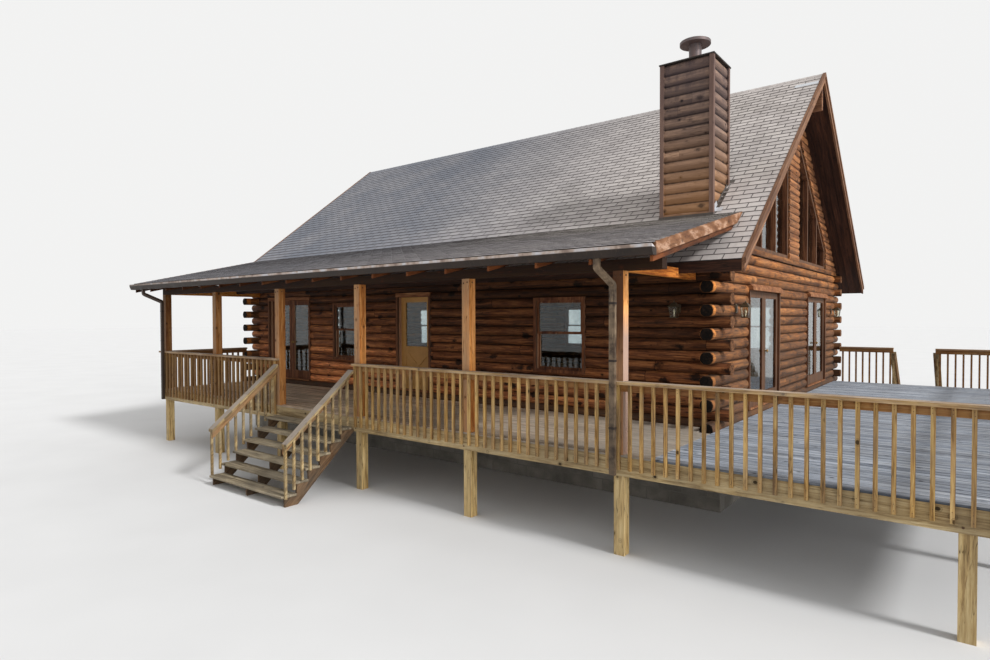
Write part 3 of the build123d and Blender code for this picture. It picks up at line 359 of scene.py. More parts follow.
def siding_material(name, base, course, length, wall, colours, grey, chase=None):
    """Log siding. The chimney chase also has corner boards, painted shade under its laps and soot."""
    g = Graph(name)
    tone, seam = courses(g, g.y if chase is None else g.x + g.y, base, course, length, wall)
    grain = along(g, "y")
    joint = course_joint(g, base, course, 0.85)
    if chase is None:
        return wood(g, grain, colours, tone, seam, grey, 1.0, 0.7, 0.18, 0.003, joint)
    x0, x1, y0, y1 = chase
    across, deep = abs(g.x - (x0 + x1) / 2) - (x1 - x0) / 2, abs(g.y - (y0 + y1) / 2) - (y1 - y0) / 2
    corner = across.larger(deep) > -0.0005
    flat = 1.0 - corner
    beside = abs(g.facing(0)) > 0.3
    grain = g.either(corner, g.either(beside, along(g, "x"), grain), along(g, "z"))
    joint = joint * flat
    runs = g.place.scaled(1.0, 1.0, 0.1).noise(9.0, 4.0, 0.6)
    soot = runs.span(0.44, 0.62) * g.z.span(5.6, 7.6, 0.0, 0.8)
    # Each course darkens towards its foot: painted shade under the lap, laid in the soot's colour.
    under = fraction(g.z, base, course).span(0.02, 0.62, 0.85, 0.0)
    wood(g, grain, colours, tone * flat, seam * 0.3 * flat, grey, 1.0, 0.7, 0.18, 0.003, joint,
         (soot.larger(under) * flat, (46, 36, 37)), 0.14)
    gold = g.z.span(4.7, 6.0, 0.6, 0.0) * (1.0 - joint)
    g.dim(g.z.span(5.0, 7.4, 1.22, 0.92)).stain(gold * flat, (158, 112, 66))
    spots = g.place.scaled(0.6, 0.6, 1.0).cells(4.2).ragged(0.14, 30.0, 3.0)
    g.stain(spots.span(0.10, 0.2, 0.75, 0.0) * flat, (34, 26, 26))
    g.stain(g.z.span(5.6, 7.8, 0.0, 0.5) * runs.span(0.35, 0.6, 0.6, 1.0), (70, 62, 72))
    return g.stain(corner * 0.55, (106, 82, 75))


gable_siding = siding_material("gable_siding", PLATE, 0.138, 3.1, 17.0, GABLE, (0.35, LOG_GREY))
chimney_siding = siding_material("chimney_siding", CHASE_TOP, 0.175, 2.7, 21.0, CHASE, (0.4, (98, 86, 84)),
                                 CHIMNEY)


def end_material(name, across, centre, *colours):
    """Round ends of the logs: rings and radial checks, dark with weather. The front ends are given darker
    colours than the side ends as painted shade.
    """
    g = Graph(name)
    side = abs(getattr(g, across)) - centre
    rise = (fraction(g.z, LOG_BASE, COURSE) - 0.5) * COURSE
    radius = (side * side + rise * rise).root()
    rings = ((radius + g.place.noise(14.0, 3.0) * 0.03) * 900.0).sine()
    row = g.white((g.z / COURSE).floor(), g.x.sign(), g.y.sign())
    ray = g.combine(rise.arctan2(side) * 2.2, row * 40.0, 0.0).noise(2.4, 3.0)
    check = abs(ray - 0.5).span(0.0, 0.022, 1.0, 0.0)
    colour = g.place.noise(22.0, 4.0).ramp(*zip((0.3, 0.5, 0.72), colours))
    colour = g.mix(rings.span(-1.0, 1.0, 0.0, 0.35), colour, colours[0])
    colour = g.mix(check * 0.85, colour, (8, 6, 5))
    colour = g.shade(colour, row.span(0.0, 1.0, 0.8, 1.3))
    g.shader.inputs["Specular IOR Level"].default_value = 0.2
    return g.finish(colour, rings * 0.15 - check, 0.004, 0.7, 0.9)


# The front ends' colours are darker than the side ends': painted shade.
ends_front = end_material("log_ends_front", "x", HALF_LENGTH - LOG / 2,
                          (9, 6, 4), (22, 15, 11), (56, 38, 26))
ends_side = end_material("log_ends_side", "y", HALF_DEPTH - LOG / 2,
                         (66, 44, 30), (122, 82, 54), (170, 120, 82))

# Timber of porch, rails, decks and stairs
PORCH = ((146, 84, 38), (196, 130, 68), (226, 166, 104))
RAIL = ((100, 71, 36), (168, 130, 74), (210, 176, 114))
CAP = ((120, 102, 86), (170, 152, 134), (208, 192, 174))
# Deck boards: weathered grey, tinted blue as a painted sky reflection.
BARE = ((98, 106, 119), (157, 165, 177), (202, 207, 214))
PORCH_FLOOR = ((154, 126, 102), (226, 198, 168), (246, 230, 208))
STEP = ((84, 73, 57), (136, 123, 101), (178, 164, 138))
STEM = ((134, 104, 60), (196, 166, 112), (226, 202, 152))
STAIR = ((96, 75, 46), (154, 128, 86), (196, 172, 126))


def post_material(name, colours, grey_colour, lee):
    """Upright timber, greyer on the sides away from the sun: painted shade."""
    g = Graph(name)
    sunny = (g.facing(0) > 0.5).larger(g.facing(1) > 0.5)
    shady = 1.0 - sunny
    cloud = g.place.scaled(1.0, 1.0, 0.3).noise(7.0, 4.0)
    wood(g, along(g, "z"), colours, vary=0.1, cracks=0.9, knots=0.8,
         tint=(shady * cloud.span(0.3, 0.7, 0.5 * lee, lee), grey_colour))
    if name == "deck_posts":
        return g
    # The right corner post has painted shade near its top on its shady sides, and a painted highlight below
    # that on its sunny sides
    last = g.x > 5.8
    painted_shade_near_top = last * g.z.span(2.3, 2.9) * shady
    pale = last * sunny * g.z.span(3.1, 2.7)
    # Painted light and shade by place: the left posts darker, the sunny sides darker on the left and lighter
    # on the right, all lighter to the right.
    g.dim(g.x.span(-6.2, -1.6, 0.5, 1.0)).stain(painted_shade_near_top * 0.85, (72, 38, 20))
    g.dim(1.0 + sunny * g.x.span(-2.0, 0.5, -0.28, 0.18))
    return g.dim(g.x.span(-1.4, 1.0, 0.96, 1.08)).stain(pale * 0.9, (170, 146, 134))


posts = post_material("porch_posts", PORCH, (146, 118, 92), 0.95)
deck_posts = post_material("deck_posts", STEM, (150, 134, 104), 0.5)
BEAM = ((140, 72, 26), (202, 122, 50), (232, 164, 84))
# The front beam is tinted nearly black: painted shade under the gutter.
g = Graph("porch_beams")
front = g.y < -6.9665
beams = wood(g, g.either(front, along(g, "y"), along(g, "x")), BEAM, g.white(front, g.x.sign(), 2.0),
             vary=0.08, cracks=0.8, tint=(front * 0.97, (16, 9, 6)))
# Painted light and shade on the rafters: orange where the tails are sunlit, darker to the left.
g = Graph("porch_rafters")
painted_sun_tip = g.y.span(-7.2, -7.0, 1.0, 0.0) * g.x.span(-1.0, 4.0, 0.0, 0.5)
rafters = wood(g, along(g, PORCH_SLOPE), ((60, 33, 20), (98, 57, 34), (134, 86, 54)), vary=0.2,
               tint=(painted_sun_tip, (150, 84, 42))).dim(g.x.span(-5.0, 3.0, 0.5, 1.0))


def rail_material(name, axis, offset):
    """Rails: the cap and the lower rails run along the axis, the balusters stand outside the rim."""
    g = Graph(name)
    across = (g.x - DECK_RIGHT).larger(DECK_LEFT - g.x)
    deep = (RIM - g.y).larger(g.y - DECK_BACK)
    outside = across.larger(deep) > 0.0003
    below_cap = g.z < 2.1299
    upright = outside * below_cap
    baluster = ((getattr(g, axis) + offset) / PITCH).floor()
    tone = g.white(baluster, 4.0, 1.0) * upright + (1.0 - upright) * 0.5
    wood(g, g.either(upright, along(g, axis), along(g, "z")), RAIL, tone, None, (0.45, (132, 116, 98)),
         knots=0.9, cracks=0.7, vary=0.2, tint=((1.0 - outside) * 0.55, (130, 76, 38)))
    # The rails are darker towards the left: painted shade.
    g.stain(g.x.span(-1.2, -2.4, 0.0, 0.55), (92, 58, 32))
    worn = along(g, axis).noise(34.0, 6.0, 0.7).ramp(*zip((0.38, 0.5, 0.62), CAP))
    high = g.facing(2).span(0.2, 0.6, 0.35, 1.0)
    return g.stain((1.0 - below_cap) * high * g.place.noise(3.0, 4.0).span(0.3, 0.6, 0.6, 1.0), worn)


rails_x = rail_material("rails_x", "x", 0.0702)
rails_y = rail_material("rails_y", "y", 0.0)
g = Graph("stair_rails")
flat = g.facing(2).span(0.2, 0.5)
stair_rails = wood(g, along(g, STAIR_SLOPE), STAIR, g.white((g.y / PITCH).floor(), 3.0, 1.0), None,
                   (0.5, (124, 118, 102)), vary=0.14, tint=(flat * 0.8, (150, 140, 132)))
under_rail = plain_wood("stair_under_rails", STAIR_SLOPE, ((84, 56, 32), (136, 98, 60), (176, 136, 92)),
                        grey=(0.6, (122, 108, 88)), knots=0.8)
g = Graph("deck_boards")
deck_boards = wood(g, along(g, "x"), BARE, grey=(0.4, (122, 122, 122)), vary=0.13, knots=0.8,
                   joint=board_edges(g, RIM, (DECK_BACK - RIM) / SIDE_BOARDS, 0.7))
g = Graph("porch_floor")
porch_floor = wood(g, along(g, "x"), PORCH_FLOOR, grey=(0.4, (130, 122, 112)), vary=0.14,
                   joint=board_edges(g, RIM, (-HALF_DEPTH - RIM) / PORCH_BOARDS, 0.6))
porch_floor.stain(g.x.span(0.5, 6.0, 0.0, 0.7), (146, 142, 134))
treads = plain_wood("stair_treads", "x", STEP, grey=(0.5, (108, 102, 92)), vary=0.12, knots=0.8)
joists = plain_wood("deck_joists", "y", ((84, 66, 44), (122, 98, 68), (150, 126, 92)), vary=0.14)
rims = plain_wood("deck_rims", "x", ((116, 94, 62), (170, 146, 104), (204, 184, 144)), tone=0.5,
                  grey=(0.5, (124, 110, 88)), knots=1.0)
stringers = plain_wood("stair_stringers", STAIR_SLOPE, ((52, 36, 24), (92, 68, 46), (130, 102, 74)),
                       grey=(0.5, (86, 76, 64)))

# Trim boards; those at the porch roof's end have flaking paint
TRIM = ((74, 46, 33), (118, 80, 57), (158, 116, 86))
g = Graph("rake_boards")
on_porch = (g.z + abs(g.y) * SLOPE > RIDGE + 0.005) * (g.y < 0.0)
outer = abs(g.x) > ROOF_END + 0.0385
peel = g.place.scaled(1.0, 0.4, 1.0).noise(7.0, 5.0, 0.65)
flaked = peel.ramp((0.38, (98, 62, 40)), (0.52, (140, 98, 68)), (0.62, (196, 158, 132)))
rake = wood(g, g.either(on_porch, along(g, SLOPE), along(g, PORCH_SLOPE)), TRIM, 0.5, None,
            (0.3, (140, 116, 96)), tint=((outer * 0.25).larger(on_porch * 0.75),
                                        g.mix(on_porch, (70, 48, 36), flaked)))
SOFFIT = ((38, 22, 17), (62, 38, 28), (90, 58, 42))
soffit = plain_wood("soffit_boards", SLOPE, SOFFIT, vary=0.25, knots=0.7)
sheathing = plain_wood("porch_ceiling", "x", SOFFIT, vary=0.25, knots=0.7)
fascia = plain_wood("fascia", "x", ((28, 16, 12), (48, 29, 21), (76, 48, 35)), vary=0.1)
ridge_timber = plain_wood("ridge_beam", "x", TRIM, tone=0.5)
FRAME = ((66, 38, 25), (102, 62, 40), (140, 92, 62))


def frame_material(name, tone):
    """Stained frames, bleached grey where they face the sun, with painted sunlight on their sunny faces in
    the front wall's reveals.
    """
    g = Graph(name)
    sunny = g.facing(0) > 0.5
    amount = sunny * g.place.scaled(1, 1, 0.2).noise(8.0, 4.0).span(0.3, 0.7, 0.4, 0.75)
    wood(g, along(g, "z"), FRAME, tone, None, knots=0.2, cracks=0.3, vary=0.1, depth=0.001,
         tint=(amount, (88, 72, 58)))
    # Painted sunlight on the sunny faces in the front wall's reveals.
    reveal = abs(g.y + 4.50) < 0.06
    return g.stain(sunny * (reveal * 0.8), (206, 160, 126))


frame_wood = frame_material("window_frames", 0.5)
door_wood = frame_material("door_frames", 0.6)
head_wood = plain_wood("door_heads", "x", ((92, 54, 34), (136, 88, 56), (176, 126, 86)), tone=0.5, knots=0.3,
                       cracks=0.4)
floor_wood = plain_wood("floor_boards", "x", ((110, 72, 40), (150, 104, 62), (178, 132, 84)), tone=0.5)
base_wood = plain_wood("chimney_base", "x", ((96, 66, 48), (144, 108, 82), (176, 142, 114)), tone=0.5)


# Painted, metal, stone and glass
def clouds(g):
    return g.place.noise(4.0, 6.0, 0.65)


def rain_runs(g):
    return g.place.scaled(1.0, 1.0, 0.12).noise(30.0, 4.0, 0.6)


def painted(name, base, worn, rough=0.5, metal=0.0, dust=0.35):
    """A coat with dust, small runs and worn spots."""
    g = Graph(name, rough, Metallic=metal)
    g.shader.inputs["Specular IOR Level"].default_value = 0.3
    cloud = clouds(g)
    colour = g.mix(cloud.span(0.4, 0.75, 0.0, dust), base, worn)
    colour = g.mix(rain_runs(g).span(0.55, 0.75, 0.0, dust), colour, worn)
    gloss = cloud.span(0.3, 0.7, rough - 0.08, rough + 0.15)
    return g.finish(colour, g.place.noise(260.0, 3.0), 0.0006, 0.4, gloss)


tan_paint = painted("tan_paint", (186, 138, 76), (152, 112, 62), 0.45, dust=0.5)
bronze = painted("lantern_bronze", (92, 80, 62), (52, 44, 36), 0.4, metal=0.5, dust=0.6)
galvanized = painted("galvanized", (206, 208, 212), (160, 162, 166), 0.45, metal=0.3, dust=0.5)
nail_steel = painted("nail_steel", (74, 60, 50), (120, 84, 56), 0.5, metal=0.6, dust=0.8)
lamp_metal = painted("dark_metal", (34, 30, 28), (70, 60, 50), 0.42, metal=0.6, dust=0.4)
flashing_metal = painted("flashing", (84, 77, 72), (118, 108, 101), 0.6, metal=0.3, dust=0.5)
brass = painted("aged_brass", (150, 118, 62), (84, 62, 34), 0.32, metal=0.9, dust=0.6)

# The gutter's lip is bleached paint with a painted highlight
g = gutter_paint = painted("gutter_metal", (36, 27, 22), (70, 56, 46), 0.5, dust=0.5)
lip = g.z.span(3.728, 3.738) * g.x.span(-6.5, -3.0, 0.45, 0.95)
bleached_and_lit = ((0.4, (138, 120, 110)), (0.5, (182, 163, 150)), (0.62, (200, 198, 202)))
g.stain(lip, clouds(g).ramp(*bleached_and_lit))

# The left downspout is darker, and both are darker near the deck
PIPE = (54, 41, 31)
g = pipe_paint = painted("downspout_metal", PIPE, (158, 136, 110), 0.5, dust=0.8)
g.stain(g.x < 0.0, PIPE).dim(g.z.span(1.6, 2.4, 0.7, 1.1))

# The flue above the chimney's cap is grey, with rust that starts at its foot
g = cap_metal = painted("chimney_cap", (44, 40, 38), (84, 76, 70), 0.5, metal=0.3, dust=0.4)
g.stain(g.z.span(CAP_TOP, CAP_TOP + 0.005), (94, 92, 96))
rust = g.z.span(CAP_TOP, CAP_TOP + 0.16, 1.0, 0.2) * rain_runs(g).span(0.35, 0.6, 0.3, 0.9)
g.stain(rust * (g.z > CAP_TOP), (150, 92, 48))

g = Graph("foundation_block", 0.9)
pits = g.place.noise(140.0, 4.0, 0.7)
colour = g.place.noise(2.2, 5.0, 0.6).ramp((0.35, (108, 104, 97)), (0.7, (150, 145, 136)))
colour = g.shade(colour, g.island().span(0.0, 1.0, 0.88, 1.12))
colour = g.mix(pits.span(0.55, 0.7, 0.0, 0.4), colour, (84, 80, 74))
block_stone = g.finish(colour, pits, 0.003, 0.7, 0.92)


def speckled(name, rough, noise, low, high, depth, strength, relief=None, **sockets):
    """Two tones that change with noise, and relief by the same noise or another."""
    g = Graph(name, rough, **sockets)
    tone = g.place.noise(*noise)
    return g.finish(tone.ramp(low, high), g.place.noise(*relief) if relief else tone, depth, strength)


mortar = speckled("mortar", 0.95, (180.0, 4.0, 0.7), (0.3, (104, 100, 94)), (0.7, (138, 134, 127)),
                  0.002, 0.6)
felt = speckled("roof_felt", 0.95, (90.0, 4.0, 0.7), (0.35, (30, 27, 26)), (0.65, (58, 53, 50)), 0.001, 0.5)
glass = speckled("window_glass", 0.03, (3.0, 4.0), (0.3, (196, 206, 208)), (0.7, (222, 230, 230)),
                 0.004, 0.25, (2.2, 2.0), Transmission_Weight=1.0, IOR=1.45)
bulb_glass = speckled("bulb_glass", 0.25, (80.0, 2.0), (0.3, (236, 228, 204)), (0.7, (250, 246, 232)),
                      0.0004, 0.2, (120.0, 2.0))
lamp_glass = speckled("lantern_glass", 0.05, (30.0, 3.0), (0.3, (236, 234, 222)), (0.7, (250, 249, 242)),
                      0.0005, 0.2, (60.0, 2.0), Transmission_Weight=1.0, IOR=1.25)

# Shingles: where each lies on its own roof gives the painted shade under the laps and beside the slots
g = Graph("shingles", 0.92)
angle, low_angle = math.atan(SLOPE), math.atan(PORCH_SLOPE)
granule = g.place.noise(380.0, 3.0, 0.8)
patch = g.place.noise(0.8, 6.0, 0.65)
streak = along(g, SLOPE, 0.12).noise(6.0, 4.0, 0.6)
butt = g.facing(2).span(0.1, 0.3, 1.0, 0.0)
on_porch = (g.z - g.y * SLOPE > RIDGE + 0.005) * (g.y < -4.2)
level = abs(g.y)
up_main = (EAVE - level) * math.cos(angle) + (g.z - (RIDGE - SLOPE * EAVE)) * math.sin(angle)
up_porch = (g.y - PORCH_FIRST) * math.cos(low_angle) + (g.z - PORCH_FIRST_HIGH) * math.sin(low_angle)
up = up_main * (1.0 - on_porch) + up_porch * on_porch
lap = fraction(up, 0.0, EXPOSURE).span(0.84, 0.97, 0.0, 0.6)
shift = (up / EXPOSURE).floor() * (0.5 * TAB)
beside = (g.x + (ROOF_END + 0.0095) + shift).pingpong(0.5 * TAB)
slots = beside.span(0.007, 0.016, 0.5, 0.0) * on_porch.span(0.0, 1.0, 1.0, 0.15)
under = lap.larger(slots) * (level > 0.17) * g.place.noise(7.0, 3.0).span(0.3, 0.6, 0.65, 1.0)
colour = g.island().ramp((0.0, (184, 176, 172)), (0.5, (196, 188, 184)), (1.0, (208, 200, 195)))
colour = g.mix(granule.span(0.35, 0.65, 0.0, 0.35), colour, (130, 121, 117))
colour = g.mix(patch.span(0.5, 0.74, 0.0, 0.3), colour, (152, 144, 132))
colour = g.mix(streak.span(0.52, 0.75, 0.0, 0.3), colour, (128, 119, 115))
# The left part of the front slope is darker and bluer: painted shade of trees.
painted_tree_shade = g.x.span(4.4, -1.5, 0.0, 0.9) * patch.span(0.35, 0.6, 0.8, 1.0) * (g.y < 0.0)
colour = g.mix(painted_tree_shade, colour, (102, 108, 120))
# Litter on the porch roof, darker and bluer as painted shade too.
litter_and_shade = g.place.noise(5.0, 5.0, 0.7).span(0.4, 0.62, 0.3, 0.8)
colour = g.mix(on_porch * litter_and_shade, colour, (146, 142, 146))
pale = on_porch * g.x.span(1.0, 4.0) * g.y.span(-5.8, -4.7)
colour = g.mix(pale * litter_and_shade, colour, (226, 216, 202))
# Painted shade under the laps, beside the slots and on the butts that face down the slope.
colour = g.mix(under, colour, (84, 77, 76))
colour = g.mix(butt * 0.85, colour, (44, 38, 36))
shingle = g.finish(colour, granule, 0.0018, 0.7)

# The look of each CAD node: the first one here with its name, or with the start or the end of its name
LOOKS = (
    (glass, "fixed_glass _glass"), (brass, "_handle"), (mortar, "foundation"), (sill_logs, "sill_logs"),
    (floor_wood, "house_floor"), (logs_front, "front_wall_"), (logs_back, "back_wall"),
    (logs_left, "left_wall"), (logs_right, "right_wall_"), (gable_siding, "right_gable_ left_gable"),
    (frame_wood, "_frames"), (head_wood, "door_heads"), (lamp_metal, "door_hinges wall_lanterns"),
    (tan_paint, "front_door"), (door_wood, "door_jambs fixed_door_leaves _door"),
    (shingle, "main_roof_ porch_roof"), (rake, "rake_boards"), (rafters, "porch_rafters"),
    (beams, "porch_beams"), (posts, "porch_posts"), (gutter_paint, "porch_gutter"),
    (pipe_paint, "downspouts"), (cap_metal, "chimney_cap"), (chimney_siding, "chimney"),
    (deck_boards, "_deck"), (rims, "deck_rims"), (deck_posts, "deck_posts"), (stair_rails, "stair_rails"),
    (rails_y, "end_rails"), (rails_x, "front_rails back_rails"), (treads, "stair_treads"),
    (stringers, "stair_stringers"),
)
looks = [(look, word) for look, words in LOOKS for word in words.split()]
for name, node in nodes.items():
    look = next(
        look for look, word in looks
        if name == word or word[0] == "_" and name.endswith(word) or word[-1] == "_" and name.startswith(word)
    )
    node.data.materials.clear()
    node.data.materials.append(look.material)


# Mesh pieces
def block_faces():
    """Faces of a chamfered block; vertex 3c + a is corner c drawn in but for axis a."""
    faces = []
    step = (12, 6, 3)
    for a in range(3):
        b, c = (a + 1) % 3, (a + 2) % 3
        for s in (0, 1):
            ring = [s * step[a] + u * step[b] + v * step[c] + a for u, v in ((0, 0), (1, 0), (1, 1), (0, 1))]
            faces.append(ring if s else ring[::-1])
        for s, t in ((0, 0), (0, 1), (1, 0), (1, 1)):
            i = s * step[a] + t * step[b]
            j = i + step[c]
            ring = [i + a, i + b, j + b, j + a]
            faces.append(ring if s == t else ring[::-1])
    for i, corner in enumerate(CUBE):
        ring = [3 * i, 3 * i + 1, 3 * i + 2]
        faces.append(ring if sum(corner) % 2 else ring[::-1])
    return faces


def ring_faces(rings, sides):
    """Faces between rings of points that lie one after another."""
    return [
        (r + i, r + (i + 1) % sides, r + sides + (i + 1) % sides, r + sides + i)
        for r in range(0, (rings - 1) * sides, sides) for i in range(sides)
    ]


def closed_faces(rings, sides):
    """Faces of a solid made of rings of points: the two ends and what lies between them."""
    last = (rings - 1) * sides
    return [tuple(range(sides))[::-1], tuple(range(last, last + sides))] + ring_faces(rings, sides)


def flipped(faces):
    return [face[::-1] for face in faces]


CUBE = [(i >> 2 & 1, i >> 1 & 1, i & 1) for i in range(8)]
SQUARE = ((-1, -1), (1, -1), (1, 1), (-1, 1))
BLOCK_FACES = block_faces()


class Boards:
    """Chamfered boards and other solids gathered in one mesh."""

    def __init__(self):
        self.verts, self.faces = [], []

    def shape(self, points, faces, matrix=None):
        """A solid by its points and faces."""
        start = len(self.verts)
        self.verts += [matrix @ Vector(p) if matrix else Vector(p) for p in points]
        self.faces += [[start + i for i in face] for face in faces]

    def add(self, low, high, chamfer=0.003, matrix=None):
        """A chamfered block between two opposite corners."""
        ends = [sorted(pair) for pair in zip(low, high)]
        inward = (chamfer, -chamfer)
        self.shape([
            [ends[a][corner[a]] + (0 if a == axis else inward[corner[a]]) for a in range(3)]
            for corner in CUBE for axis in range(3)
        ], BLOCK_FACES, matrix)
        return self

    def taper(self, start, start_width, end, end_width, matrix):
        """A bar of square section that may lean, widen or narrow upwards."""
        self.shape([
            (x + sx * width / 2, y + sy * width / 2, z)
            for (x, y, z), width in ((start, start_width), (end, end_width)) for sx, sy in SQUARE
        ], closed_faces(2, 4), matrix)

    def lathe(self, spot, profile, sides, matrix):
        """A round shape from radii and heights."""
        turns = [2 * math.pi * i / sides for i in range(sides)]
        self.shape([
            (spot[0] + radius * math.cos(turn), spot[1] + radius * math.sin(turn), height)
            for radius, height in profile for turn in turns
        ], closed_faces(len(profile), sides), matrix)

    def stud(self, spot, normal, radius, height, sides=6):
        """A nail or bolt head that stands proud of a face."""
        turn = Vector((0, 0, 1)).rotation_difference(Vector(normal)).to_matrix().to_4x4()
        profile = ((radius, -0.001), (radius, 0.6 * height), (0.7 * radius, height))
        self.lathe((0, 0), profile, sides, Matrix.Translation(spot) @ turn)


def placed(name, data):
    """A new object in the scene."""
    made = bpy.data.objects.new(name, data)
    bpy.context.scene.collection.objects.link(made)
    return made


def piece(name, boards, look, slot, *stands_for, body="house", smooth=False):
    """A mesh piece that rides on a body and may stand for CAD nodes."""
    mesh = bpy.data.meshes.new(name)
    mesh.from_pydata([tuple(v) for v in boards.verts], [], boards.faces)
    mesh.update()
    if smooth:
        mesh.shade_smooth()
    mesh.materials.append(look.material)
    made = placed(name, mesh)
    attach(made, body)
    if stands_for:
        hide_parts(*stands_for)


def slope_matrix(side, eave, height, slope):
    """X along the eave, Y up the slope, Z off the roof, from the eave's upper edge."""
    angle = math.atan(slope)
    up = Vector((0, -side * math.cos(angle), math.sin(angle)))
    off = Vector((0, side * math.sin(angle), math.cos(angle)))
    rows = Matrix((Vector((1, 0, 0)), up, off)).transposed()
    return Matrix.Translation((0, side * eave, height)) @ rows.to_4x4()


def shingle_rows(matrix, run, start, end, lift, seed, mirrored):
    """Rows of three-tab shingles: each row is shifted by half a tab and laps the one below."""
    rng = random.Random(seed)
    made = Boards()
    faces = [(4, 5, 6, 7), (0, 1, 5, 4), (1, 2, 6, 5), (3, 0, 4, 7)]
    for row in range(math.ceil(run / EXPOSURE)):
        base = row * EXPOSURE
        top = min(base + EXPOSURE + 0.014, run)
        x = start - (row * 0.5 * TAB) % TAB - rng.uniform(0.0, 0.008)
        while x < end:
            left, right = max(x, start), min(x + TAB - SLOT, end)
            x += TAB
            if right - left < 0.004:
                continue
            low = max(base - rng.uniform(0.0, 0.004), -0.015)
            lip = lift + 0.0105 + rng.uniform(-0.001, 0.0012)
            sides = [(left, low), (right, low), (right, top), (left, top)]
            points = [(p, q, lift - 0.001) for p, q in sides]
            points += [(p, q, h) for (p, q), h in zip(sides, (lip, lip, lift + 0.001, lift + 0.001))]
            made.shape(points, flipped(faces) if mirrored else faces, matrix)
    return made


# Main roof: shingles and felt above, ceiling boards that run up the slope, a fascia at the eave
roof_angle = math.atan(SLOPE)
roof_run = EAVE / math.cos(roof_angle)
eave_height = RIDGE - SLOPE * EAVE
roof_drop = ROOF_THICK * math.hypot(1, SLOPE)
plumb = ROOF_THICK * SLOPE
SHINGLE_LIFT, FELT_DEPTH = -0.013, ROOF_THICK - 0.021
SOFFIT_BOARDS = 96
for side, label, seed in ((-1, "front", 3), (1, "back", 5)):
    matrix = slope_matrix(side, EAVE, eave_height, SLOPE)
    rows = shingle_rows(matrix, roof_run - 0.012, -ROOF_END, ROOF_END, SHINGLE_LIFT, seed, side > 0)
    piece("main_shingles_" + label, rows, shingle, "shingles", "main_roof_" + label)
    boards = Boards()
    width = 2 * ROOF_END / SOFFIT_BOARDS
    for i in range(SOFFIT_BOARDS):
        x = -ROOF_END + i * width
        boards.add((x + 0.0015, 0.022 - plumb, -ROOF_THICK),
                   (x + width - 0.0015, roof_run - plumb - 0.003, 0.019 - ROOF_THICK), 0.003, matrix)
    piece("soffit_boards_" + label, boards, soffit, "trim_boards")
    sheet = Boards().add((-ROOF_END, 0.03 - 0.3 * plumb, -FELT_DEPTH),
                         (ROOF_END, roof_run - FELT_DEPTH * SLOPE, SHINGLE_LIFT - 0.001), 0.002, matrix)
    piece("roof_felt_" + label, sheet, felt, "shingles")
    boards = Boards()
    for x0, x1 in ((-ROOF_END, -2.2), (-2.198, 2.4), (2.402, ROOF_END)):
        boards.add((x0, side * (EAVE - 0.02), eave_height - roof_drop),
                   (x1, side * EAVE, eave_height - 0.017), 0.002)
    piece("eave_fascia_" + label, boards, fascia, "trim_boards")

# Porch roof: boards along the eave, shingles over them
CEILING_BOARDS = 23
porch_run = (JUNCTION - PORCH_FIRST) / math.cos(math.atan(PORCH_SLOPE))
low_slope = slope_matrix(-1, -PORCH_FIRST, PORCH_FIRST_HIGH, PORCH_SLOPE)
rows = shingle_rows(low_slope, porch_run + 0.01, PORCH_LEFT - 0.012, PORCH_RIGHT + 0.02, -0.006, 11, False)
piece("porch_shingles", rows, shingle, "shingles", "porch_roof")
boards = Boards()
width = (porch_run + 0.02) / CEILING_BOARDS
for i in range(CEILING_BOARDS):
    boards.add((PORCH_LEFT, i * width + 0.001, -0.030), (PORCH_RIGHT, (i + 1) * width - 0.001, -0.0085),
               matrix=low_slope)
piece("porch_ceiling", boards, sheathing, "porch_timber")
sheet = Boards().add((PORCH_LEFT, 0.002, -0.0083), (PORCH_RIGHT, porch_run, -0.0071), 0.0005, low_slope)
piece("porch_felt", sheet, felt, "shingles")

# Ridge caps, lapped from the left end to the right one
caps = Boards()
RIDGE_CAPS = 96
pitch = 2 * ROOF_END / RIDGE_CAPS
rim_high = RIDGE - SLOPE * 0.15
near_top = RIDGE - SLOPE * 0.03 - 0.009
for i in range(RIDGE_CAPS):
    x0, x1 = max(-ROOF_END + i * pitch - 0.03, -ROOF_END), -ROOF_END + (i + 1) * pitch
    points = []
    for x, rise in ((x0, 0.0), (x1, 0.005)):
        section = ((-0.15, rim_high - 0.011 + rise), (-0.03, near_top + rise), (0.0, RIDGE - 0.016 + rise),
                   (0.03, near_top + rise), (0.15, rim_high - 0.011 + rise),
                   (0.15, rim_high - 0.019), (-0.15, rim_high - 0.019))
        points += [(x, y, z) for y, z in section]
    faces = [(j, j + 7, j + 8, j + 1) for j in range(4)]
    faces += [(4, 11, 12, 5), (6, 13, 7, 0), (0, 1, 2, 3, 4, 5, 6), (13, 12, 11, 10, 9, 8, 7)]
    caps.shape(points, faces)
piece("ridge_caps", caps, shingle, "shingles")

# Deck boards, with the log tails let in at the corners
rng = random.Random(7)
for deck, back, count, look in (
    ("porch_deck", -HALF_DEPTH, PORCH_BOARDS, porch_floor),
    ("side_deck", DECK_BACK, SIDE_BOARDS, deck_boards),
):
    boards = Boards()
    width = (back - RIM) / count
    for i in range(count):
        low, high = RIM + i * width, RIM + (i + 1) * width
        reaches = [(HALF_LENGTH + 0.001, DECK_RIGHT)]
        if deck == "porch_deck":
            at_tails = high > -HALF_DEPTH - FRONT_TAIL - 0.001
            inner = HALF_LENGTH - LOG - 0.002
            left, right = (-inner, inner) if at_tails else (DECK_LEFT, HALF_LENGTH)
            seam = rng.uniform(-4.0, 4.0)
            reaches = [(left, seam - 0.001), (seam + 0.001, right)]
        for x0, x1 in reaches:
            boards.add((x0, low + 0.003, DECK - 0.025), (x1, high - 0.003, DECK - rng.uniform(0, 0.001)))
    piece(deck + "_boards", boards, look, "deck_boards", deck)


def steps(face, side):
    """The front edge and the height of each step, from the top."""
    return [(face + side * (FIRST_NOSE + i * GOING), DECK - (i + 1) * RISE) for i in range(STEPS)]


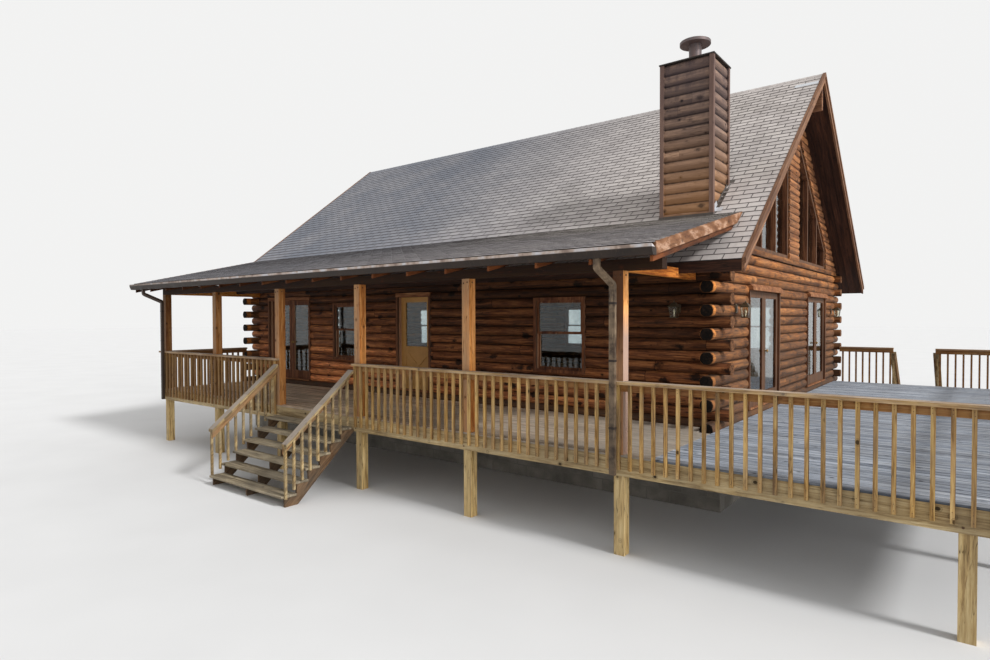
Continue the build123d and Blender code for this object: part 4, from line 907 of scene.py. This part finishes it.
# Two boards to a tread, and a board on edge under each handrail, on the side of the stair
tread_boards, under_rails = Boards(), Boards()
for x0, x1, face, side in STAIRS:
    for nose, top in steps(face, side):
        for start, end in ((0.0, 0.1375), (0.1425, 0.280)):
            tread_boards.add((x0, nose - side * start, top - 0.038), (x1, nose - side * end, top), 0.005)
    for low_x in (x0 + 0.0005, x1 - 0.0385):
        points = []
        for x in (low_x, low_x + 0.038):
            for reach in (0.072, 1.371):
                high = DECK + 0.86 - RISE / GOING * reach - 0.0502
                points += [(x, face + side * reach, high), (x, face + side * reach, high - 0.115)]
        faces = [(0, 1, 3, 2), (4, 6, 7, 5), (0, 2, 6, 4), (1, 5, 7, 3), (0, 4, 5, 1), (2, 3, 7, 6)]
        under_rails.shape(points, faces if side > 0 else flipped(faces))
piece("tread_boards", tread_boards, treads, "rail_timber", "stair_treads")
piece("stair_under_rails", under_rails, under_rail, "rail_timber")

# Foundation blocks, laid in half bond over their mortar
blocks = Boards()
BLOCK_COURSES, WALL = 6, 0.2
rise = LOG_BASE / BLOCK_COURSES


def lay(start, end, low, high, row, turned=False):
    """One course of blocks along X, or along Y if turned."""
    count = max(round((end - start) / 0.4), 1)
    size = (end - start) / count
    cuts = [start + i * size for i in range(count + 1)]
    if row % 2 and count > 1:
        cuts = [start] + [start + (i + 0.5) * size for i in range(count)] + [end]
    for a, b in zip(cuts, cuts[1:]):
        near, far = (a + 0.005, low), (b - 0.005, high)
        if turned:
            near, far = near[::-1], far[::-1]
        blocks.add((*near, row * rise + 0.005), (*far, (row + 1) * rise - 0.005), 0.006)


for row in range(BLOCK_COURSES):
    for side in (-1, 1):
        inner, outer = sorted((side * (HALF_DEPTH - WALL), side * HALF_DEPTH))
        lay(-HALF_LENGTH, HALF_LENGTH, inner - 0.003, outer + 0.003, row)
        inner, outer = sorted((side * (HALF_LENGTH - WALL), side * HALF_LENGTH))
        lay(-HALF_DEPTH + 0.205, HALF_DEPTH - 0.205, inner - 0.003, outer + 0.003, row, True)
    for x in (-3.15, 0.0, 3.15):
        lay(x - 0.2, x + 0.2, -0.203, 0.203, row)
piece("foundation_blocks", blocks, block_stone, "foundation_block")


def log_end(made, centre, normal, rng):
    """A cap just proud of a log's end, with a worn edge and an uneven face."""
    side = Vector((0, 0, 1)).cross(normal)
    half = COURSE / 2
    sides = 28
    wobble = [rng.uniform(-0.002, 0.002) for _ in range(sides)]
    rings = ((0.016, 1.012), (0.007, 1.008), (0.0, 0.94), (-0.0015, 0.66), (-0.001, 0.33))
    points = []
    for back, size in rings:
        for i in range(sides):
            angle = 2 * math.pi * i / sides
            radius = (LOG / 2 + wobble[i]) * size
            u, v = radius * math.cos(angle), radius * math.sin(angle)
            v = max(-half * size, min(half * size, v))
            dip = rng.uniform(-0.0012, 0.0012) if size < 0.95 else 0.0
            points.append(centre + side * u + Vector((0, 0, v)) + normal * (0.004 - back + dip))
    points.append(centre + normal * 0.003)
    last = (len(rings) - 1) * sides
    fan = [(last + i, last + (i + 1) % sides, len(points) - 1) for i in range(sides)]
    made.shape(points, ring_faces(len(rings), sides) + fan)


# Weathered round ends of the logs at the four corners
rng = random.Random(19)
front_ends, side_ends = Boards(), Boards()
for course in range(LOG_COURSES):
    height = LOG_BASE + (course + 0.5) * COURSE
    for sx in (-1, 1):
        for sy in (-1, 1):
            if course % 2 == 0:
                spot = Vector((sx * (HALF_LENGTH - LOG / 2), sy * (HALF_DEPTH + FRONT_TAIL), height))
                log_end(front_ends, spot, Vector((0, sy, 0)), rng)
            else:
                spot = Vector((sx * (HALF_LENGTH + SIDE_TAIL), sy * (HALF_DEPTH - LOG / 2), height))
                log_end(side_ends, spot, Vector((sx, 0, 0)), rng)
piece("log_ends_front", front_ends, ends_front, "stained_logs")
piece("log_ends_side", side_ends, ends_side, "stained_logs")

# Lanterns: bronze frame, four panes, candle and bulb. Each tier: foot and its width, head and its width
TIERS = (
    (-0.135, 0.100, -0.128, 0.088), (-0.128, 0.106, -0.1165, 0.108), (0.034, 0.140, 0.0405, 0.141),
    (0.0405, 0.165, 0.047, 0.158), (0.047, 0.146, 0.096, 0.056), (0.096, 0.064, 0.104, 0.048),
)
FINIAL = ((0.006, 0.103), (0.013, 0.112), (0.014, 0.119), (0.007, 0.127), (0.003, 0.135))
CANDLE = ((0.011, -0.1165), (0.011, -0.062), (0.008, -0.060))
BULB = ((0.007, -0.060), (0.015, -0.038), (0.014, -0.020), (0.007, -0.002), (0.002, 0.010))
axle = (0.0, -0.1475)
foot, head = 0.0957 / 2 - 0.005, 0.1385 / 2 - 0.005
metal, panes, bulbs = Boards(), Boards(), Boards()
for x, y, turn in ((5.67, -HALF_DEPTH, 0), (HALF_LENGTH, -3.902, 90), (HALF_LENGTH, 3.902, 90)):
    matrix = Matrix.Translation((x, y, 3.07)) @ Matrix.Rotation(math.radians(turn), 4, "Z")
    metal.add((-0.045, -0.012, -0.054), (0.045, 0.0, 0.081), 0.003, matrix)
    metal.add((-0.030, -0.020, -0.040), (0.030, -0.012, 0.067), 0.003, matrix)
    metal.add((-0.008, axle[1], 0.061), (0.008, -0.018, 0.077), 0.002, matrix)
    for low, low_width, high, high_width in TIERS:
        metal.taper((*axle, low), low_width, (*axle, high), high_width, matrix)
    metal.lathe(axle, FINIAL, 12, matrix)
    for sx, sy in SQUARE:
        metal.taper((sx * foot, axle[1] + sy * foot, -0.117), 0.0075,
                    (sx * head, axle[1] + sy * head, 0.035), 0.0075, matrix)
    for quarter in range(4):
        around = Matrix.Translation((0, axle[1], 0)) @ Matrix.Rotation(math.pi / 2 * quarter, 4, "Z")
        around = matrix @ around
        metal.taper((0.0, foot + 0.001, -0.117), 0.004, (0.0, head + 0.001, 0.035), 0.004, around)
        pane = []
        for deep in (0.0, -0.0018):
            for height, half in ((-0.1165, foot), (0.034, head)):
                pane += [(-half, half + deep, height), (half, half + deep, height)]
        faces = [(1, 0, 2, 3), (4, 5, 7, 6), (0, 1, 5, 4), (2, 6, 7, 3), (0, 4, 6, 2), (1, 3, 7, 5)]
        panes.shape(pane, faces, around)
    bulbs.lathe(axle, CANDLE, 12, matrix)
    bulbs.lathe(axle, BULB, 12, matrix)
piece("lantern_frames", metal, bronze, "dark_metal", "wall_lanterns")
piece("lantern_panes", panes, lamp_glass, "window_glass")
piece("lantern_bulbs", bulbs, bulb_glass, "window_glass", smooth=True)


def baluster_run(start, end, anchor):
    """The middles of a rail's balusters, centred or counted from an anchor."""
    low, high = start + BALUSTER / 2, end - BALUSTER / 2
    if anchor is None:
        first = (low + high - (high - low) // PITCH * PITCH) / 2
    else:
        first = anchor - math.floor((anchor - low) / PITCH) * PITCH
    return [first + i * PITCH for i in range(int((high - first) // PITCH) + 1)]


# Nails in the balusters and the treads. A rail: its ends, an anchor, the rim's face, the way out, the axis
RAILS = (
    (-6.268, -1.3204, 6.08, RIM, -1, "x"), (0.9216, 10.068, 6.08, RIM, -1, "x"),
    (-7.041, -4.953, None, DECK_LEFT, -1, "y"), (-7.041, 4.305, None, DECK_RIGHT, 1, "y"),
    (6.478, 7.67, None, DECK_BACK, 1, "x"), (8.53, 10.068, None, DECK_BACK, 1, "x"),
)
rng = random.Random(23)
nails = Boards()
for start, end, anchor, face, side, axis in RAILS:
    for place in baluster_run(start, end, anchor):
        for height in (1.118, 1.186, 2.072, 2.108):
            spot, normal = [place + rng.uniform(-0.005, 0.005), face + side * BALUSTER], [0, side]
            if axis == "y":
                spot, normal = spot[::-1], normal[::-1]
            nails.stud((*spot, height + rng.uniform(-0.006, 0.006)), (*normal, 0), 0.0042, 0.0012)
for x0, x1, face, side in STAIRS:
    spots = [x0 + 0.019, x1 - 0.019] + ([(x0 + x1) / 2] if x1 - x0 > 1.5 else [])
    for nose, top in steps(face, side):
        for x in spots:
            for back in (0.05, 0.11, 0.19, 0.25):
                nails.stud((x, nose - side * back, top), (0, 0, 1), 0.0045, 0.0012)
piece("nails", nails, nail_steel, "rail_timber")

# Bolts in the posts and the rims
bolts = Boards()
for x in POSTS:
    for off in (-0.036, 0.034):
        bolts.stud((x + off, -7.107, 3.462 + off / 6), (0, -1, 0), 0.0125, 0.0085)
    for side in (1, -1):
        bolts.stud((x + side * 0.07, -7.04, 3.468), (side, 0, 0), 0.0125, 0.0085)
PAIR = ((-0.035, 1.055), (0.035, 1.17))
for x in (-6.092,) + POSTS[1:] + (9.35,):
    for off, height in PAIR:
        bolts.stud((x + off, RIM, height), (0, -1, 0), 0.0115, 0.006, 8)
post_span = DECK_BACK - RIM - 0.216
count = round(post_span / 2.5)
for i in range(1, count + 1):
    for off, height in PAIR:
        y = RIM + 0.108 + post_span / count * i + off
        bolts.stud((DECK_RIGHT, y, height), (1, 0, 0), 0.0115, 0.006, 8)
piece("bolts", bolts, nail_steel, "porch_timber")

# Joists under the decks
joist_boards = Boards()
for k in range(1, 9):
    x = HALF_LENGTH + 0.41 * k
    joist_boards.add((x - 0.019, RIM + 0.045, 1.048), (x + 0.019, DECK_BACK - 0.045, 1.2345))
x = -5.72
while x < 6.1:
    if min(abs(x - p) for p in POSTS) > 0.10:
        joist_boards.add((x - 0.019, RIM + 0.045, 1.048), (x + 0.019, -HALF_DEPTH - 0.045, 1.2345))
    x += 0.405
joist_boards.add((-6.10, -HALF_DEPTH - 0.042, 1.05), (6.10, -HALF_DEPTH - 0.004, 1.2345))
piece("deck_joists", joist_boards, joists, "rail_timber")

# Ridge beam ends under the gable overhangs
beam_ends = Boards()
for side in (-1, 1):
    beam_ends.add((side * (HALF_LENGTH + 0.004), -0.045, 7.11),
                  (side * (ROOF_END - 0.004), 0.045, 7.655), 0.006)
piece("ridge_beam_ends", beam_ends, ridge_timber, "trim_boards")


def up_slope(y):
    """How far up the front slope a depth lies from the eave."""
    return (EAVE + y) / math.cos(roof_angle)


# Flashing beside, behind and before the chimney, with a step to each row of shingles
SHEET = 0.0004
steep = slope_matrix(-1, EAVE, eave_height, SLOPE)
flashing = Boards()
first, last = up_slope(-4.235), up_slope(-3.52)
for inner, outer in ((6.0785, 6.14), (5.2415, 5.18)):
    face = inner + math.copysign(0.0018, outer - inner)
    flashing.add((inner, first, -0.02), (face, last, 0.03), SHEET, steep)
    for k in range(5):
        place = first + k * EXPOSURE
        flashing.add((inner, place + 0.012, -0.0055), (outer, place + 0.195, -0.0035), SHEET, steep)
back = up_slope(CHIMNEY[3])
flashing.add((5.15, back - 0.005, -0.0040), (6.17, back + 0.12, -0.0022), SHEET, steep)
flashing.add((5.16, porch_run - 0.11, 0.0012), (6.16, porch_run + 0.002, 0.0028), SHEET, low_slope)
flashing.add((5.21, -4.2785, 4.548), (6.11, -4.2762, 4.585), 0.0005)
piece("flashing", flashing, flashing_metal, "dark_metal")

# Bright sheet at the chimney's lower right corner, and a strip near the ridge's right end
bright = Boards()
lowest, bare = up_slope(-4.20), up_slope(-0.40)
bright.add((6.083, lowest, -0.01), (6.0848, lowest + 0.21, 0.075), SHEET, steep)
bright.add((6.083, lowest, -0.0028), (6.20, lowest + 0.12, -0.0010), SHEET, steep)
bright.add((6.40, bare - 0.02, -0.0020), (6.83, bare + 0.11, -0.0002), SHEET, steep)
piece("bright_flashing", bright, galvanized, "dark_metal")
base = Boards().add((5.289, -4.268, 4.556), (6.031, -4.243, 4.618))
piece("chimney_base_board", base, base_wood, "log_siding")

# Gutter hangers, end caps and joints, and straps on the downspouts
gutter = Boards()
x = -6.7
while x < 6.5:
    gutter.add((x - 0.0125, -7.5735, 3.7125), (x + 0.0125, -7.4555, 3.7155), 0.001)
    x += 0.61
profile = [
    (-7.577, 3.768), (-7.577, 3.719), (-7.552, 3.6628), (-7.5458, 3.6445), (-7.452, 3.6445), (-7.452, 3.7185)
]
for x0, x1 in ((-6.8802, -6.878), (6.551, 6.5532)):
    gutter.shape([(x, y, z) for x in (x0, x1) for y, z in profile], closed_faces(2, 6))
edge = [(y - 0.0012, z - 0.0008) for y, z in profile[:4]]
for x in (-2.45, 1.95):
    for (y0, z0), (y1, z1) in zip(edge, edge[1:]):
        strip = ((y0, z0), (y1, z1), (y1 + 0.001, z1 + 0.0006), (y0 + 0.001, z0 + 0.0006))
        gutter.shape([(a, y, z) for a in (x - 0.03, x + 0.03) for y, z in strip], flipped(closed_faces(2, 4)))
for x in (5.89, -5.99):
    for height in (3.12, 2.42, 1.60):
        gutter.add((x - 0.0405, -7.2455, height - 0.014), (x + 0.0405, -7.1855, height + 0.014), 0.001)
piece("gutter_fittings", gutter, gutter_paint, "gutter_metal")

# Camera solved from the photograph: how it is turned, its focal length in pixels and its place
yaw, pitch, roll = math.radians(38.006), math.radians(-1.138), math.radians(-0.159)
FOCAL, PICTURE_WIDTH, EYE = 625.5, 990, (9.442, -14.082, 2.950)
forward = Vector((-math.sin(yaw) * math.cos(pitch), math.cos(yaw) * math.cos(pitch), math.sin(pitch)))
right = Vector((math.cos(yaw), math.sin(yaw), 0))
up = right.cross(forward)
across = right * math.cos(roll) + up * math.sin(roll)
upwards = up * math.cos(roll) - right * math.sin(roll)
lens = bpy.data.cameras.new("camera")
lens.sensor_width = 36
lens.lens = FOCAL / PICTURE_WIDTH * 36
lens.clip_end = 500
camera = placed("camera", lens)
rows = [list(a) for a in zip(across, upwards, -forward)]
camera.matrix_world = Matrix.Translation(EYE) @ Matrix(rows).to_4x4()
bpy.context.scene.camera = camera

# Floor, sky, sun and fill light
g = Graph("stage_floor", 0.9)
g.finish(g.place.noise(0.6, 2.0).ramp((0.3, (220, 220, 220)), (0.7, (224, 224, 224))))
mesh = bpy.data.meshes.new("stage_floor")
mesh.from_pydata([(-200, -200, 0), (200, -200, 0), (200, 200, 0), (-200, 200, 0)], [], [(0, 1, 2, 3)])
mesh.materials.append(g.material)
ground = placed("stage_floor", mesh)

# The sky is a little brighter where it is seen, reflected or looked through than where it lights
world = bpy.data.worlds.new("world")
bpy.context.scene.world = world
world.use_nodes = True
tree = world.node_tree
paths = tree.nodes.new("ShaderNodeLightPath").outputs
seen = paths["Is Camera Ray"]
for key in ("Is Glossy Ray", "Is Transmission Ray"):
    either = tree.nodes.new("ShaderNodeMath")
    either.operation = "MAXIMUM"
    tree.links.new(seen, either.inputs[0])
    tree.links.new(paths[key], either.inputs[1])
    seen = either.outputs[0]
level = tree.nodes.new("ShaderNodeMapRange")
level.inputs["To Min"].default_value = 0.76
level.inputs["To Max"].default_value = 1.0
tree.links.new(seen, level.inputs[0])
background = tree.nodes["Background"]
background.inputs[0].default_value = (0.89, 0.89, 0.885, 1)
tree.links.new(level.outputs[0], background.inputs[1])
for name, energy, spread, tilt, turn in (("sun", 2.4, 10, 54, 88), ("fill", 0.9, 25, 80, 78)):
    light = bpy.data.lights.new(name, "SUN")
    light.energy = energy
    light.angle = math.radians(spread)
    placed(name, light).rotation_euler = (math.radians(tilt), 0, math.radians(turn))
bpy.context.scene.view_settings.view_transform = "Standard"
